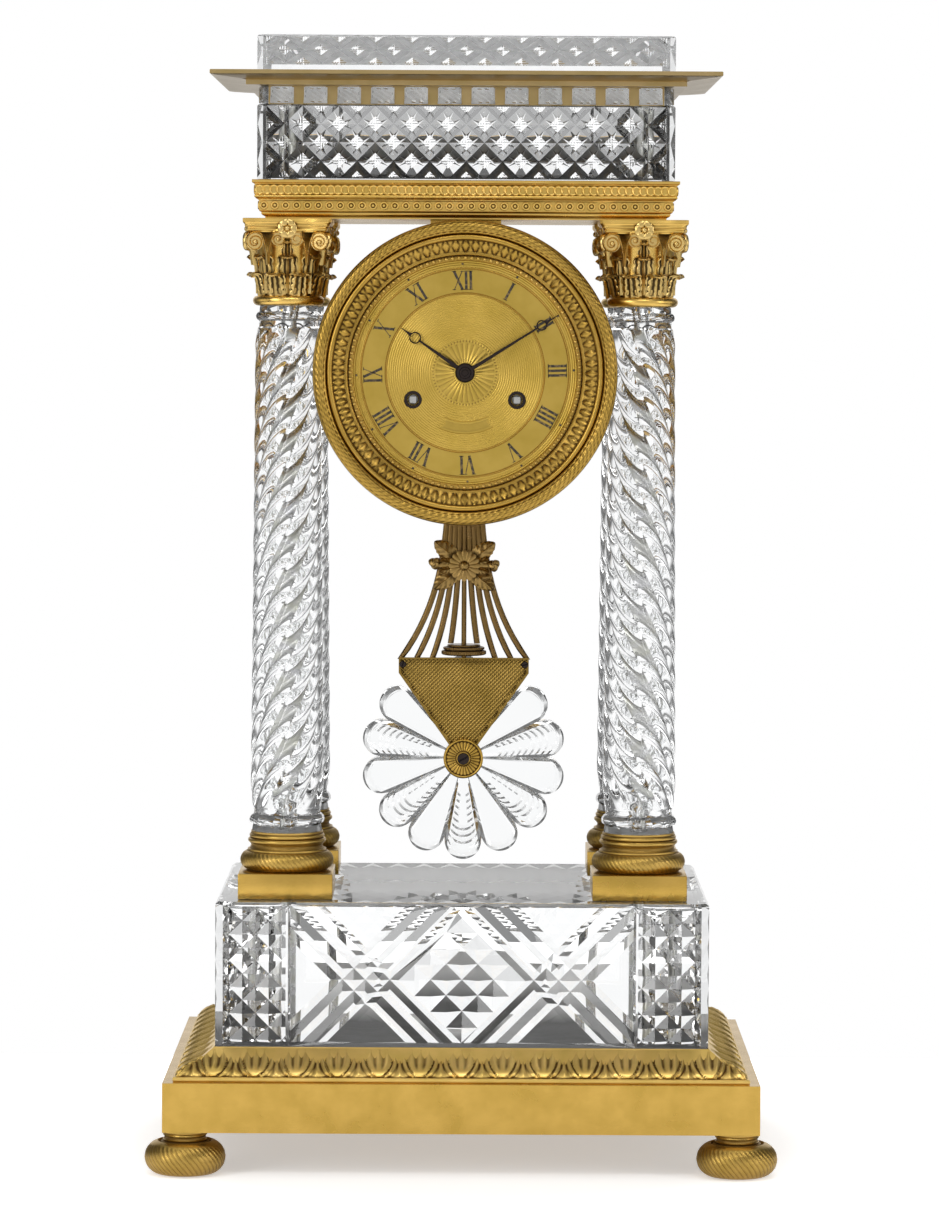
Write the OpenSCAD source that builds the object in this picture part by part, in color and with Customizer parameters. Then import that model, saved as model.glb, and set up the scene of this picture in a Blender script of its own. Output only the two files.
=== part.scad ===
/* [Plinth] */
// Width of the plinth, left to right
plinth_w = 300; // [285:1:360]
// Depth of the plinth, front to back
plinth_d = 230; // [215:1:276]
// Height of the plinth
plinth_h = 25; // [20:0.5:32]
// Thickness of the plinth's top and walls
plinth_wall = 5; // [4:0.5:8]

/* [Feet] */
// Height of each bun foot
foot_h = 22; // [18:0.5:30]
// Radius of each bun foot at its widest
foot_r = 20.5; // [16:0.5:25]
// Radius of the neck under the plinth
foot_neck_r = 10.4; // [8:0.2:13]
// Distance of a foot's centre from the plinth's sides
foot_inset = 11; // [9:0.5:16]
// Radius of the stud that holds a foot
foot_stud_r = 3; // [2:0.25:4]

/* [Leaf moulding] */
// Height of the leaf moulding
leaf_h = 15; // [12:0.5:20]
// Step from the plinth's edge to the moulding's foot
leaf_margin = 5; // [3:0.5:8]
// Distance of the crystal block from the plinth's edge
crystal_inset = 25; // [20:0.5:30]

/* [Crystal base] */
// Height of the crystal base block
base_h = 73.5; // [60:0.5:90]
// Size of the block's cut edges
base_chamfer = 4; // [2:0.5:6]

/* [Columns] */
// Distance of the column axes from the crystal block's sides
column_inset = 35; // [32:0.5:40]
// Side of the square block under a column
pad_w = 48; // [44:0.5:54]
// Height of that square block
pad_h = 13; // [10:0.5:16]
// Height of the rings between the square block and the shaft
ring_h = 20; // [16:0.5:25]
// Radius of the large ring
torus_r = 24; // [22:0.5:26]
// Length of the crystal shaft
shaft_h = 268; // [240:1:320]
// Radius of the shaft at its foot
shaft_r = 19.5; // [17:0.25:21]
// Radius of the shaft under the capital
shaft_top_r = 16.5; // [14:0.25:18]
// Height of the capital
capital_h = 44; // [36:0.5:53]
// Side of the capital's top slab
abacus_w = 45.4; // [40:0.5:50]
// Radius of the tie rod inside a column
tie_r = 2.5; // [2:0.25:3.5]

/* [Entablature] */
// Height of the architrave
architrave_h = 19.5; // [16:0.5:24]
// Overhang of the architrave past the column axes
architrave_over = 18; // [16:0.5:22]
// Height of the crystal frieze
frieze_h = 38; // [32:0.5:46]
// Height of the row of crystal blocks
dentil_h = 9.5; // [8:0.5:12]
// Count of crystal blocks along the front
dentils_front = 12; // [9:1:14]
// Count of crystal blocks along each side
dentils_side = 7; // [5:1:9]
// Height of the cornice
cornice_h = 6.7; // [5.5:0.1:9]
// Overhang of the cornice past the column axes
cornice_over = 38.3; // [32:0.5:46]
// Height of the crystal slab on top
attic_h = 18.8; // [15:0.5:24]

/* [Clock drum] */
// Gap between the bezel and the architrave above it
bezel_gap = 0.5; // [0.5:0.5:20]
// Radius of the front bezel
bezel_r = 77; // [72:0.5:77]
// Depth of the front bezel
bezel_t = 14; // [10:0.5:18]
// Radius of the dial
dial_r = 57; // [54:0.5:58]
// Radius of the drum
drum_r = 64; // [62:0.5:68]
// Thickness of the drum's wall
drum_wall = 1.8; // [1.2:0.2:3]
// Length of the drum, front to back
drum_len = 112; // [104:1:120]
// Gap round the back door
door_gap = 0.4; // [0.3:0.1:1]

/* [Movement] */
// Radius of the two brass plates
plate_r = 46; // [44:0.5:50]
// Thickness of the plates
plate_t = 2.5; // [2:0.25:3]
// Distance between the plates
plate_space = 37.5; // [37.5:0.5:42]
// Sideways distance of a winding square from the centre
wind_x = 26.3; // [25.5:0.1:27]
// Drop of a winding square below the centre
wind_z = 13.7; // [13:0.1:14.5]
// Length from the suspension point to the dial's centre
pivot_rise = 36; // [35:0.5:38]
// Gap between a pivot and its hole
run_gap = 0.05; // [0.02:0.01:0.1]

/* [Pendulum] */
// Distance from the suspension point to the middle of the bob
pendulum_len = 237; // [222:0.5:240]
// Radius of the crystal bob
bob_r = 53.5; // [46:0.5:54]
// Thickness of the crystal bob
bob_t = 14; // [10:0.5:18]
// Count of petals round the bob
bob_petals = 14; // [10:1:18]
// Width of one pendulum rod
rod_w = 2.6; // [2:0.1:3]
// Count of rods
rod_count = 9; // [5:2:9]

/* [Hidden] */
$fn = 64;
eps = 0.01;
seat = 0.1;          // gap round a piece that is screwed up in a curved seat
gilt = "goldenrod";
glass = "lightsteelblue";
brass = "khaki";
steel = "slategray";

// Levels from the floor up
z_plinth = foot_h;
z_leaf = z_plinth + plinth_h;
z_base = z_leaf + leaf_h;
z_pad = z_base + base_h;
z_ring = z_pad + pad_h;
z_shaft = z_ring + ring_h;
z_capital = z_shaft + shaft_h;
z_architrave = z_capital + capital_h;
z_frieze = z_architrave + architrave_h;
z_dentil = z_frieze + frieze_h;
z_cornice = z_dentil + dentil_h;
z_attic = z_cornice + cornice_h;
z_top = z_attic + attic_h;
dial_z = z_architrave - bezel_gap - bezel_r;
pivot_z = dial_z + pivot_rise;

// Plan sizes
base_w = plinth_w - 2 * crystal_inset;
base_d = plinth_d - 2 * crystal_inset;
col_x = base_w / 2 - column_inset;
col_y = base_d / 2 - column_inset;
foot_x = plinth_w / 2 - foot_inset;
foot_y = plinth_d / 2 - foot_inset;
arch_w = 2 * (col_x + architrave_over);
arch_d = 2 * (col_y + architrave_over);
frieze_step = 2.4;   // the crystal stands back this far from the architrave's edge
frieze_w = arch_w - 2 * frieze_step;
frieze_d = arch_d - 2 * frieze_step;
cornice_w = 2 * (col_x + cornice_over);
cornice_d = 2 * (col_y + cornice_over);
rod_hole_r = tie_r + 0.4;
CORNERS = [[-1, -1], [1, -1], [-1, 1], [1, 1]];

// Stations along the clock's depth; the front is at the lowest y
bezel_back = -(col_y + sqrt(max(0, pow(shaft_r, 2) - pow(col_x - bezel_r, 2))) + 0.6);
bezel_front = bezel_back - bezel_t;
drum_back = bezel_back + drum_len;
dial_sink = 1.6;      // the dial's face lies this far in front of the bezel's back
dial_front = bezel_back - dial_sink;
dial_back = bezel_back + 1.2;
motion_space = 9;
plate_front = dial_back + motion_space;     // front face of the front plate
train_front = plate_front + plate_t;        // inner face of the front plate
train_back = train_front + plate_space;     // inner face of the back plate
plate_back = train_back + plate_t;          // outer face of the back plate
pendulum_y = plate_back + 6.5;
rod_t = 2.6;
bob_front = pendulum_y + rod_t / 2 + 0.5;
slot_w = 44;
slot_d = 13;
nut_h = 4;
rod_clear = 0.4;      // gap over the end of a tie rod
stud_len = plinth_h - 10;
pad_in = foot_inset + 2;
dentil_t = 5;
screw_r = 2;
strap_r = 1.8;
strap_reach = dial_r + 3;
STRAPS = [for (a = [45, 225]) [strap_reach * cos(a), strap_reach * sin(a)]];
HANGER_Y = [bezel_back + 25, bezel_back + 85];
hanger_w = 36;
rear_t = 5;
hinge_x = drum_r - 1;
hinge_y = drum_back + rear_t + 2.5;
door_t = 1.5;
bob_z = pivot_z - pendulum_len;
bob_back = bob_front + bob_t;
bob_top = bob_z + bob_r;
rail_top = bob_top - 2;
rods_top = dial_z - 17;
nut_z = bob_top + 0.3;
rating_h = 5.5;
rod_r = 1.3;
bob_screw_r = 2;
boss_r = 10.3;
plate_screw_z = bob_top - 4.5;
mount_z = dial_z - 100.6;
y_bell = plate_back + 19.5;
stud_r = 1.2;
minute_angle = 58;
hour_angle = -55.2;

// Wheel train: tooth counts and modules
barrel_teeth = 84;
mid_pinion = 12;
mid_teeth = 72;
centre_pinion = 12;
centre_teeth = 84;
third_pinion = 8;
third_teeth = 94;
escape_pinion = 8;
escape_teeth = 30;
cannon_teeth = 12;
motion_teeth = 36;
motion_pinion = 10;
hour_teeth = 40;
m_barrel = 0.42;
m_centre = 0.36;
m_third = 0.27;
m_cannon = 0.5;
m_hour = 0.48;
pin_teeth = 72;
fly_pinion = 8;
m_fly = 0.34;
barrel_r = 15;
barrel_h = 13;
wheel_t = 1.3;
pivot_r = 0.9;
thin_r = 0.75;
arbor_r = 1.3;
wind_r = 2.3;
wind_hole_r = 4.1;
cannon_r = 2.2;
pipe_r = 3.2;

function gear_dist(a, b, m) = (a + b) * m / 2;
// Point at distance ra from a and rb from b, on the left of the way from a to b
function meet(a, b, ra, rb, side = 1) =
    let (d = norm(b - a), u = (b - a) / d, t = (d * d + ra * ra - rb * rb) / (2 * d),
         h = sqrt(ra * ra - t * t))
    a + u * t + side * h * [-u[1], u[0]];
function heading(a, b) = atan2(b[1] - a[1], b[0] - a[0]);
// Turn of wheel b, so that its teeth stand in the gaps of wheel a
function mesh_turn(a, b, na, nb, turn_a) =
    let (f = heading(a, b)) f + 180 - 180 / nb + (f - turn_a) * na / nb;

AT_CENTRE = [0, 0];
AT_GOING = [wind_x, -wind_z];
AT_STRIKE = [-wind_x, -wind_z];
AT_MID = meet(AT_GOING, AT_CENTRE, gear_dist(barrel_teeth, mid_pinion, m_barrel),
              gear_dist(mid_teeth, centre_pinion, m_barrel), -1);
AT_ANCHOR = [0, pivot_rise];
pallet_reach = 13.5;
AT_ESCAPE = AT_ANCHOR - [0, pallet_reach];
AT_THIRD = meet(AT_CENTRE, AT_ESCAPE, gear_dist(centre_teeth, third_pinion, m_centre),
                gear_dist(third_teeth, escape_pinion, m_third), 1);
pin_dist = gear_dist(barrel_teeth, mid_pinion, m_barrel);
AT_PIN = AT_STRIKE + pin_dist * [cos(95), sin(95)];
AT_FLY = AT_PIN + gear_dist(pin_teeth, fly_pinion, m_fly) * [cos(75), sin(75)];
AT_HAMMER = AT_PIN + 16 * [cos(120), sin(120)];
AT_MOTION = [0, -gear_dist(cannon_teeth, motion_teeth, m_cannon)];
AT_BELL_POST = [30, -30];
PILLARS = [[-14, -39.5], [14, -39.5], [40, 8], [-17, 38]];

TURN_CENTRE = 0;
TURN_MID = mesh_turn(AT_CENTRE, AT_MID, centre_pinion, mid_teeth, TURN_CENTRE);
TURN_GOING = mesh_turn(AT_MID, AT_GOING, mid_pinion, barrel_teeth, TURN_MID);
TURN_THIRD = mesh_turn(AT_CENTRE, AT_THIRD, centre_teeth, third_pinion, TURN_CENTRE);
TURN_ESCAPE = mesh_turn(AT_THIRD, AT_ESCAPE, third_teeth, escape_pinion, TURN_THIRD);
TURN_MOTION = mesh_turn(AT_CENTRE, AT_MOTION, cannon_teeth, motion_teeth, TURN_CENTRE);
TURN_HOUR = mesh_turn(AT_MOTION, AT_CENTRE, motion_pinion, hour_teeth, TURN_MOTION);
TURN_PIN = mesh_turn(AT_STRIKE, AT_PIN, barrel_teeth, mid_pinion, 0);
TURN_FLY = mesh_turn(AT_PIN, AT_FLY, pin_teeth, fly_pinion, TURN_PIN);

// Stations of the wheels behind the front plate
y_barrel = train_front + 1;
y_great = y_barrel + barrel_h;
y_mid = y_great + 5;
y_centre = y_mid + 5;
y_third = y_centre + 5;
y_escape = y_third + 4;
y_cannon = plate_front - 0.6;
y_hour = y_cannon - 4.6;

// Points of an arc, for profiles
function arc(cx, cy, r, a0, a1, n = 8) =
    [for (i = [0:n]) [cx + r * cos(a0 + (a1 - a0) * i / n), cy + r * sin(a0 + (a1 - a0) * i / n)]];

// Flat outline in the x-z plane, drawn from y0 to y1
module slab(y0, y1) {
    translate([0, y1, 0]) rotate([90, 0, 0]) linear_extrude(height = y1 - y0) children();
}

// Round bar along y
module bar(r, y0, y1) {
    translate([0, y1, 0]) rotate([90, 0, 0]) cylinder(r = r, h = y1 - y0);
}

// Turned piece on the y axis: points are [radius, y]
module turned(points) {
    rotate([-90, 0, 0]) rotate_extrude() polygon(points);
}

// Place in the clock's face, measured from the dial's centre
module at_face(p) {
    translate([p[0], 0, dial_z + p[1]]) children();
}

// Rectangular moulding with mitred corners: points are [inset, z], from the foot up
module mitred(w, d, points) {
    function across(half) = concat([for (p = points) [half - p[0], p[1]]],
        [for (i = [len(points) - 1:-1:0]) [points[i][0] - half, points[i][1]]]);
    intersection() {
        rotate([90, 0, 0]) linear_extrude(height = d, center = true) polygon(across(w / 2));
        rotate([90, 0, 90]) linear_extrude(height = w, center = true) polygon(across(d / 2));
    }
}

// Outline of a toothed wheel
module toothed(n, m, add = 0.75, ded = 0.95, wide = 0.5, tip = 0.2) {
    polygon([for (i = [0:n - 1]) for (p = [[-wide / 2, -ded], [-tip / 2, add], [tip / 2, add], [wide / 2, -ded]])
        let (a = (i + p[0]) * 360 / n, r = (n / 2 + p[1]) * m) [r * cos(a), r * sin(a)]]);
}

// Wheel with round crossings between the hub and the rim
module crossed_wheel(n, m, y0, turn, bore = 0, spokes = 5) {
    r = n * m / 2;
    hole = r * 0.24;
    slab(y0, y0 + wheel_t) rotate(turn) difference() {
        toothed(n, m);
        for (k = [0:spokes - 1]) rotate((k + 0.5) * 360 / spokes) translate([r * 0.58, 0]) circle(r = hole);
        if (bore > 0) circle(r = bore);
    }
}

module pinion(n, m, y0, y1, turn, bore = 0) {
    slab(y0, y1) rotate(turn) difference() {
        toothed(n, m, add = 0.6, ded = 0.9, wide = 0.46, tip = 0.18);
        if (bore > 0) circle(r = bore);
    }
}

// Arbor between the plates, with thin pivots in both
module arbor(r = arbor_r) {
    bar(r, train_front + 0.3, train_back - 0.3);
    bar(min(r, pivot_r), plate_front + 0.2, plate_back - 0.2);
}

// Place of a corner's foot and of a corner's column: 0 front left, 1 front right, 2 back left, 3 back right
module at_foot(i) {
    translate([CORNERS[i][0] * foot_x, CORNERS[i][1] * foot_y, 0]) children();
}

module at_column(i, z) {
    translate([CORNERS[i][0] * col_x, CORNERS[i][1] * col_y, z]) children();
}

// Holes for the four tie rods
module rod_holes(z0, z1) {
    for (i = [0:3]) at_column(i, z0) cylinder(r = rod_hole_r, h = z1 - z0);
}

module foot(i) {
    bulb = 8.5;
    color(gilt) at_foot(i) {
        rotate_extrude() polygon(concat([[0, 0], [9, 0]],
            arc(foot_r - bulb, bulb, bulb, -70, 75, 12),
            [[foot_neck_r + 1.6, foot_h - 7], [foot_neck_r, foot_h - 6], [foot_neck_r, foot_h - 2],
             [foot_neck_r + 1, foot_h], [0, foot_h]]));
        translate([0, 0, foot_h - 1]) cylinder(r = foot_stud_r, h = stud_len + 1);
    }
}

module base_nuts() {
    color(steel) for (i = [0:3]) at_column(i, z_leaf - plinth_wall - nut_h) difference() {
        cylinder(r = 5, h = nut_h, $fn = 6);
        translate([0, 0, -1]) cylinder(r = tie_r, h = nut_h + 2);
    }
}

module plinth() {
    inner = 2 * plinth_wall;
    color(gilt) difference() {
        translate([-plinth_w / 2, -plinth_d / 2, z_plinth]) cube([plinth_w, plinth_d, plinth_h]);
        difference() {
            translate([-plinth_w / 2 + plinth_wall, -plinth_d / 2 + plinth_wall, z_plinth - 1])
                cube([plinth_w - inner, plinth_d - inner, plinth_h - plinth_wall + 1]);
            for (i = [0:3]) at_foot(i) translate([-pad_in, -pad_in, 0]) cube([2 * pad_in, 2 * pad_in, z_leaf]);
        }
        for (i = [0:3]) at_foot(i) translate([0, 0, z_plinth - 1])
            cylinder(r = foot_stud_r + run_gap, h = stud_len + 2);
        rod_holes(z_plinth, z_leaf + 1);
    }
}

module leaf_moulding() {
    steps = 10;
    rise = leaf_h - 3;
    run = crystal_inset - leaf_margin - 1.5;
    color(gilt) difference() {
        translate([0, 0, z_leaf]) mitred(plinth_w - 2 * leaf_margin, plinth_d - 2 * leaf_margin,
            concat([[0, 0], [0, 2.4]],
                [for (i = [0:steps]) let (t = i / steps)
                    [1 + run * (0.82 * t - 0.09 * sin(360 * t) + 0.18 * t * t), 2.4 + rise * t]],
                [[run + 1, leaf_h]]));
        translate([-col_x + 10, -col_y + 10, z_leaf - 1]) cube([2 * col_x - 20, 2 * col_y - 20, leaf_h + 2]);
        rod_holes(z_leaf - 1, z_base + 1);
    }
}

module crystal_base() {
    c = base_chamfer;
    color(glass) difference() {
        intersection() {
            translate([0, 0, z_base]) mitred(base_w, base_d, [[0, 0], [0, base_h - c], [c * 0.6, base_h]]);
            translate([0, 0, z_base - 1]) linear_extrude(height = base_h + 2) polygon([
                for (s = [[1, 1], [-1, 1], [-1, -1], [1, -1]])
                    for (e = s[0] * s[1] > 0 ? [0, 1] : [1, 0])
                        [s[0] * (base_w / 2 - (e == 1 ? c : 0)), s[1] * (base_d / 2 - (e == 0 ? c : 0))]]);
        }
        rod_holes(z_base - 1, z_pad + 1);
    }
}

// Square block with its rings, under a shaft
module column_bases() {
    top = ring_h;
    color(gilt) for (i = [0:3]) at_column(i, z_pad) difference() {
        union() {
            translate([-pad_w / 2, -pad_w / 2, 0]) cube([pad_w, pad_w, pad_h]);
            translate([0, 0, pad_h]) rotate_extrude() polygon(concat([[0, 0], [torus_r - 3, 0]],
                arc(torus_r - top * 0.25, top * 0.25, top * 0.25, -60, 78, 8),
                [[torus_r - 3.6, top * 0.52]],
                arc(torus_r - 3.2, top * 0.64, top * 0.12, 240, 120, 6),
                [[torus_r - 4.6, top * 0.78], [torus_r - 5.1, top * 0.83], [torus_r - 4.6, top * 0.88],
                 [torus_r - 4.6, top * 0.97], [torus_r - 5.2, top], [0, top]]));
        }
        translate([0, 0, -1]) cylinder(r = rod_hole_r, h = pad_h + ring_h + 2);
    }
}

module shaft(i) {
    collar = 12.3;
    top_collar = 10.6;
    color(glass) at_column(i, z_shaft) difference() {
        rotate_extrude() polygon(concat([[0, 0], [shaft_r - 1.5, 0]],
            arc(shaft_r - 3, collar / 2, 3, -80, 80, 6),
            [[shaft_r - 1.6, collar]],
            [[shaft_r - 0.6, collar + 3], [shaft_top_r + 0.6, shaft_h - top_collar - 3],
             [shaft_top_r - 0.8, shaft_h - top_collar]],
            arc(shaft_top_r - 2.4, shaft_h - top_collar / 2, 2.4, -75, 75, 6),
            [[shaft_top_r - 1.5, shaft_h], [0, shaft_h]]));
        translate([0, 0, -1]) cylinder(r = rod_hole_r, h = shaft_h + 2);
    }
}

module capital(i) {
    ring = 4.5;
    slab_h = 5.5;
    bell_r = shaft_top_r - 1.5;
    lip = abacus_w / 2 - 3.5;
    tall = capital_h - ring - slab_h;
    color(gilt) at_column(i, z_capital) difference() {
        union() {
            rotate_extrude() polygon(concat([[0, 0]], arc(shaft_top_r - 2, ring / 2, ring / 2, -80, 80, 6),
                [for (k = [0:8]) let (t = k / 8) [bell_r + (lip - bell_r) * pow(t, 2.2), ring + tall * t]],
                [[0, ring + tall]]));
            translate([0, 0, capital_h - slab_h]) linear_extrude(height = slab_h) difference() {
                square(abacus_w, center = true);
                for (a = [0, 90, 180, 270]) rotate(a) translate([abacus_w / 2 + 41, 0]) circle(r = 44);
                for (a = [45, 135, 225, 315]) rotate(a) translate([abacus_w * 0.705, 0])
                    square([abacus_w * 0.1, abacus_w], center = true);
            }
        }
        translate([0, 0, -1]) cylinder(r = rod_hole_r, h = capital_h + 2);
    }
}

module tie_rods() {
    color(steel) for (i = [0:3]) at_column(i, z_leaf - plinth_wall - nut_h - 2)
        cylinder(r = tie_r, h = z_cornice - rod_clear - (z_leaf - plinth_wall - nut_h - 2));
}

module architrave() {
    h = architrave_h;
    color(gilt) difference() {
        translate([0, 0, z_architrave]) mitred(arch_w, arch_d, [[6.5, 0], [6.5, h * 0.06], [4.6, h * 0.12],
            [4.6, h * 0.18], [3.4, h * 0.2], [3.4, h * 0.47], [2.2, h * 0.5], [1.6, h * 0.57], [1.2, h * 0.6],
            [1.2, h * 0.88], [0, h * 0.92], [0, h]]);
        rod_holes(z_architrave - 1, z_frieze + 1);
        for (y = HANGER_Y) translate([0, y, z_architrave - 1]) cylinder(r = screw_r, h = 11);
    }
}

// Crystal slab with cut corners
module crystal_slab(w, d, z, h, cut) {
    translate([0, 0, z]) linear_extrude(height = h) polygon([
        [-w / 2, -d / 2 + cut], [-w / 2 + cut, -d / 2], [w / 2 - cut, -d / 2], [w / 2, -d / 2 + cut],
        [w / 2, d / 2 - cut], [w / 2 - cut, d / 2], [-w / 2 + cut, d / 2], [-w / 2, d / 2 - cut]]);
}

module crystal_frieze() {
    color(glass) difference() {
        crystal_slab(frieze_w, frieze_d, z_frieze, frieze_h, 3);
        rod_holes(z_frieze - 1, z_dentil + 1);
    }
}

// Length of a row of crystal blocks on a side of width w
function dentil_span(w) = w - 8;

// One crystal block of the row, its back on the cove
module dentil(w) {
    rotate([90, 0, 0]) linear_extrude(height = dentil_t) polygon([[-w / 2, 0.4], [w / 2, 0.4],
        [w / 2 - 0.8, dentil_h - 0.6], [-w / 2 + 0.8, dentil_h - 0.6]]);
}

module crystal_dentils() {
    w_front = dentil_span(frieze_w) / dentils_front;
    w_side = dentil_span(frieze_d) / dentils_side;
    color(glass) translate([0, 0, z_dentil]) {
        for (side = [0, 1], k = [0:dentils_front - 1]) rotate(side * 180)
            translate([(k - (dentils_front - 1) / 2) * w_front, -(frieze_d / 2 - dentil_t - 0.6), 0])
                dentil(w_front * 0.72);
        for (side = [0, 1], k = [0:dentils_side - 1]) rotate(90 + side * 180)
            translate([(k - (dentils_side - 1) / 2) * w_side, -(frieze_w / 2 - dentil_t - 0.6), 0])
                dentil(w_side * 0.72);
    }
}

module cornice() {
    h = cornice_h;
    back = cornice_over - architrave_over + frieze_step + dentil_t + 0.6;
    lip = cornice_over - architrave_over - 3;
    color(gilt) difference() {
        translate([0, 0, z_dentil]) mitred(cornice_w, cornice_d, [[back, 0], [back, dentil_h],
            [lip, dentil_h], [lip, dentil_h + h * 0.35], [lip * 0.9, dentil_h + h * 0.42],
            [lip * 0.55, dentil_h + h * 0.5], [lip * 0.18, dentil_h + h * 0.6], [0.6, dentil_h + h * 0.66],
            [0, dentil_h + h * 0.7], [0, dentil_h + h * 0.95], [0.4, dentil_h + h]]);
        rod_holes(z_dentil - 1, z_cornice - rod_clear + 0.6);
    }
}

module crystal_attic() {
    color(glass) crystal_slab(frieze_w, frieze_d, z_attic, attic_h, 3);
}

module drum_case() {
    slot_y = pendulum_y;
    color(gilt) at_face([0, 0]) difference() {
        bar(drum_r, bezel_back, drum_back);
        bar(drum_r - drum_wall, bezel_back - 1, drum_back + 1);
        translate([-slot_w / 2, slot_y - slot_d / 2, -drum_r - 1]) cube([slot_w, slot_d, 20]);
        for (y = HANGER_Y) translate([0, y, drum_r - 8]) cylinder(r = screw_r, h = 10);
    }
}

// Saddle between the drum and the architrave
module drum_hanger() {
    color(gilt) difference() {
        translate([-hanger_w / 2, HANGER_Y[0] - 12, dial_z + drum_r - 6])
            cube([hanger_w, HANGER_Y[1] - HANGER_Y[0] + 24, z_architrave - dial_z - drum_r + 6]);
        at_face([0, 0]) bar(drum_r + seat, bezel_back - 1, drum_back + 1);
        for (y = HANGER_Y) translate([0, y, dial_z]) cylinder(r = screw_r, h = 100);
    }
}

module front_bezel() {
    b = bezel_front;
    lip = dial_r - 0.5;
    color(gilt) at_face([0, 0]) difference() {
        turned(concat([[lip, dial_front - 0.05], [lip, dial_front - 2.6], [dial_r + 2.6, dial_front - 3.2],
            [dial_r + 3.4, dial_front - 3.6], [bezel_r - 9.8, b + 4.6], [bezel_r - 9.8, b + 3.4]],
            arc(bezel_r - 8.4, b + 3.4, 1.4, 180, 360, 6),
            arc(bezel_r - 3.6, b + 3.4, 3.4, 180, 360, 12),
            [[bezel_r, bezel_back - 1.4], [bezel_r - 1, bezel_back], [dial_r + 0.3, bezel_back],
             [dial_r + 0.3, dial_front - 0.05]]));
        for (p = STRAPS) translate([p[0], 0, p[1]]) bar(strap_r + run_gap, bezel_back - 4, bezel_back + 1);
    }
}

// Long screws that draw the two bezels together
module movement_straps() {
    color(steel) at_face([0, 0]) for (p = STRAPS) translate([p[0], 0, p[1]])
        bar(strap_r, bezel_back - 3.8, drum_back + rear_t + 1.4);
}

module case_screws() {
    color(steel) {
        for (y = HANGER_Y) translate([0, y, dial_z + drum_r - drum_wall - 2.4]) {
            cylinder(r = 3.8, h = 2);
            cylinder(r = screw_r - run_gap, h = z_architrave - dial_z - drum_r + drum_wall + 2.4 + 9);
        }
        at_face([0, 0]) for (p = STRAPS) translate([p[0], 0, p[1]]) difference() {
            bar(3, drum_back + rear_t, drum_back + rear_t + 1.4);
            bar(strap_r + run_gap, drum_back, drum_back + rear_t + 3);
        }
    }
}

module dial() {
    hole = pipe_r + 1;
    color("gold") at_face([0, 0]) {
        difference() {
            turned([[hole, dial_front], [dial_r, dial_front], [dial_r, bezel_back], [strap_reach + 1.4, bezel_back],
                [strap_reach + 1.4, dial_back], [hole, dial_back]]);
            for (p = [AT_GOING, AT_STRIKE]) translate([p[0], 0, p[1]]) bar(wind_hole_r, dial_front - 1, dial_back + 1);
            for (p = STRAPS) translate([p[0], 0, p[1]]) bar(strap_r + run_gap, bezel_back - 1, dial_back + 1);
        }
        for (a = [50, 130, 215, 325]) translate([40 * cos(a), 0, 40 * sin(a)]) bar(2, dial_back - eps, plate_front);
    }
}

module rear_bezel() {
    inner = drum_r - 10;
    color(gilt) at_face([0, 0]) {
        difference() {
            union() {
                turned([[inner, drum_back], [drum_r - drum_wall - 0.1, drum_back - 2], [drum_r - drum_wall - 0.1, drum_back],
                    [drum_r + 2.5, drum_back], [drum_r + 3, drum_back + 1.5], [drum_r + 1, drum_back + rear_t],
                    [inner, drum_back + rear_t]]);
                for (z = [-11, 7]) translate([hinge_x - 2.2, drum_back + rear_t - 1, z])
                    cube([4.4, hinge_y - drum_back - rear_t + 1, 4]);
                for (z = [-11, 7]) translate([hinge_x, hinge_y, z]) cylinder(r = 2.2, h = 4);
            }
            for (p = STRAPS) translate([p[0], 0, p[1]]) bar(strap_r + run_gap, drum_back - 3, drum_back + rear_t + 1);
        }
        translate([hinge_x, hinge_y, -10.5]) cylinder(r = 1, h = 21);
    }
}

module back_door() {
    r = drum_r - 8.5;
    color(gilt) at_face([0, 0]) {
        bar(r, hinge_y - door_t / 2, hinge_y + door_t / 2);
        difference() {
            bar(drum_r - 10 - door_gap, hinge_y - 4.5, hinge_y);
            bar(drum_r - 12 - door_gap, hinge_y - 6, hinge_y + 1);
        }
        difference() {
            union() {
                translate([0, hinge_y - door_t / 2, -6.7]) cube([hinge_x, door_t, 13.4]);
                translate([hinge_x, hinge_y, -6.7]) cylinder(r = 2.2, h = 13.4);
            }
            translate([hinge_x, hinge_y, -8]) cylinder(r = 1 + run_gap, h = 16);
        }
        translate([-r + 9, 0, 0]) bar(1.5, hinge_y, hinge_y + 5);
        translate([-r + 9, hinge_y + 6, 0]) sphere(r = 3);
    }
}

// Round plate of the movement, with holes for the pivots that it carries
module movement_plate(y0, y1) {
    slab(y0, y1) difference() {
        circle(r = plate_r);
        for (p = [AT_MID, AT_THIRD, AT_PIN, AT_FLY]) translate(p) circle(r = pivot_r + run_gap);
        translate(AT_ESCAPE) circle(r = thin_r + run_gap);
        for (p = PILLARS) translate(p) circle(r = 1.5 + run_gap);
        children();
    }
}

module front_plate() {
    color(brass) at_face([0, 0]) {
        movement_plate(plate_front, train_front) {
            circle(r = arbor_r + 0.15 + run_gap);
            translate(AT_ANCHOR) circle(r = pivot_r + run_gap);
            translate(AT_HAMMER) circle(r = pivot_r + run_gap);
            for (p = [AT_GOING, AT_STRIKE]) translate(p) circle(r = wind_r + run_gap);
        }
        translate([AT_MOTION[0], 0, AT_MOTION[1]]) bar(stud_r, y_cannon - 5.2, plate_front + eps);
    }
}

module back_plate() {
    color(brass) at_face([0, 0]) movement_plate(train_back, plate_back) {
        circle(r = pivot_r + run_gap);
        translate(AT_ANCHOR) circle(r = arbor_r + run_gap);
        translate(AT_HAMMER) circle(r = arbor_r + run_gap);
        for (p = [AT_GOING, AT_STRIKE]) translate(p) circle(r = wind_r - 0.4 + run_gap);
    }
}

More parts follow.
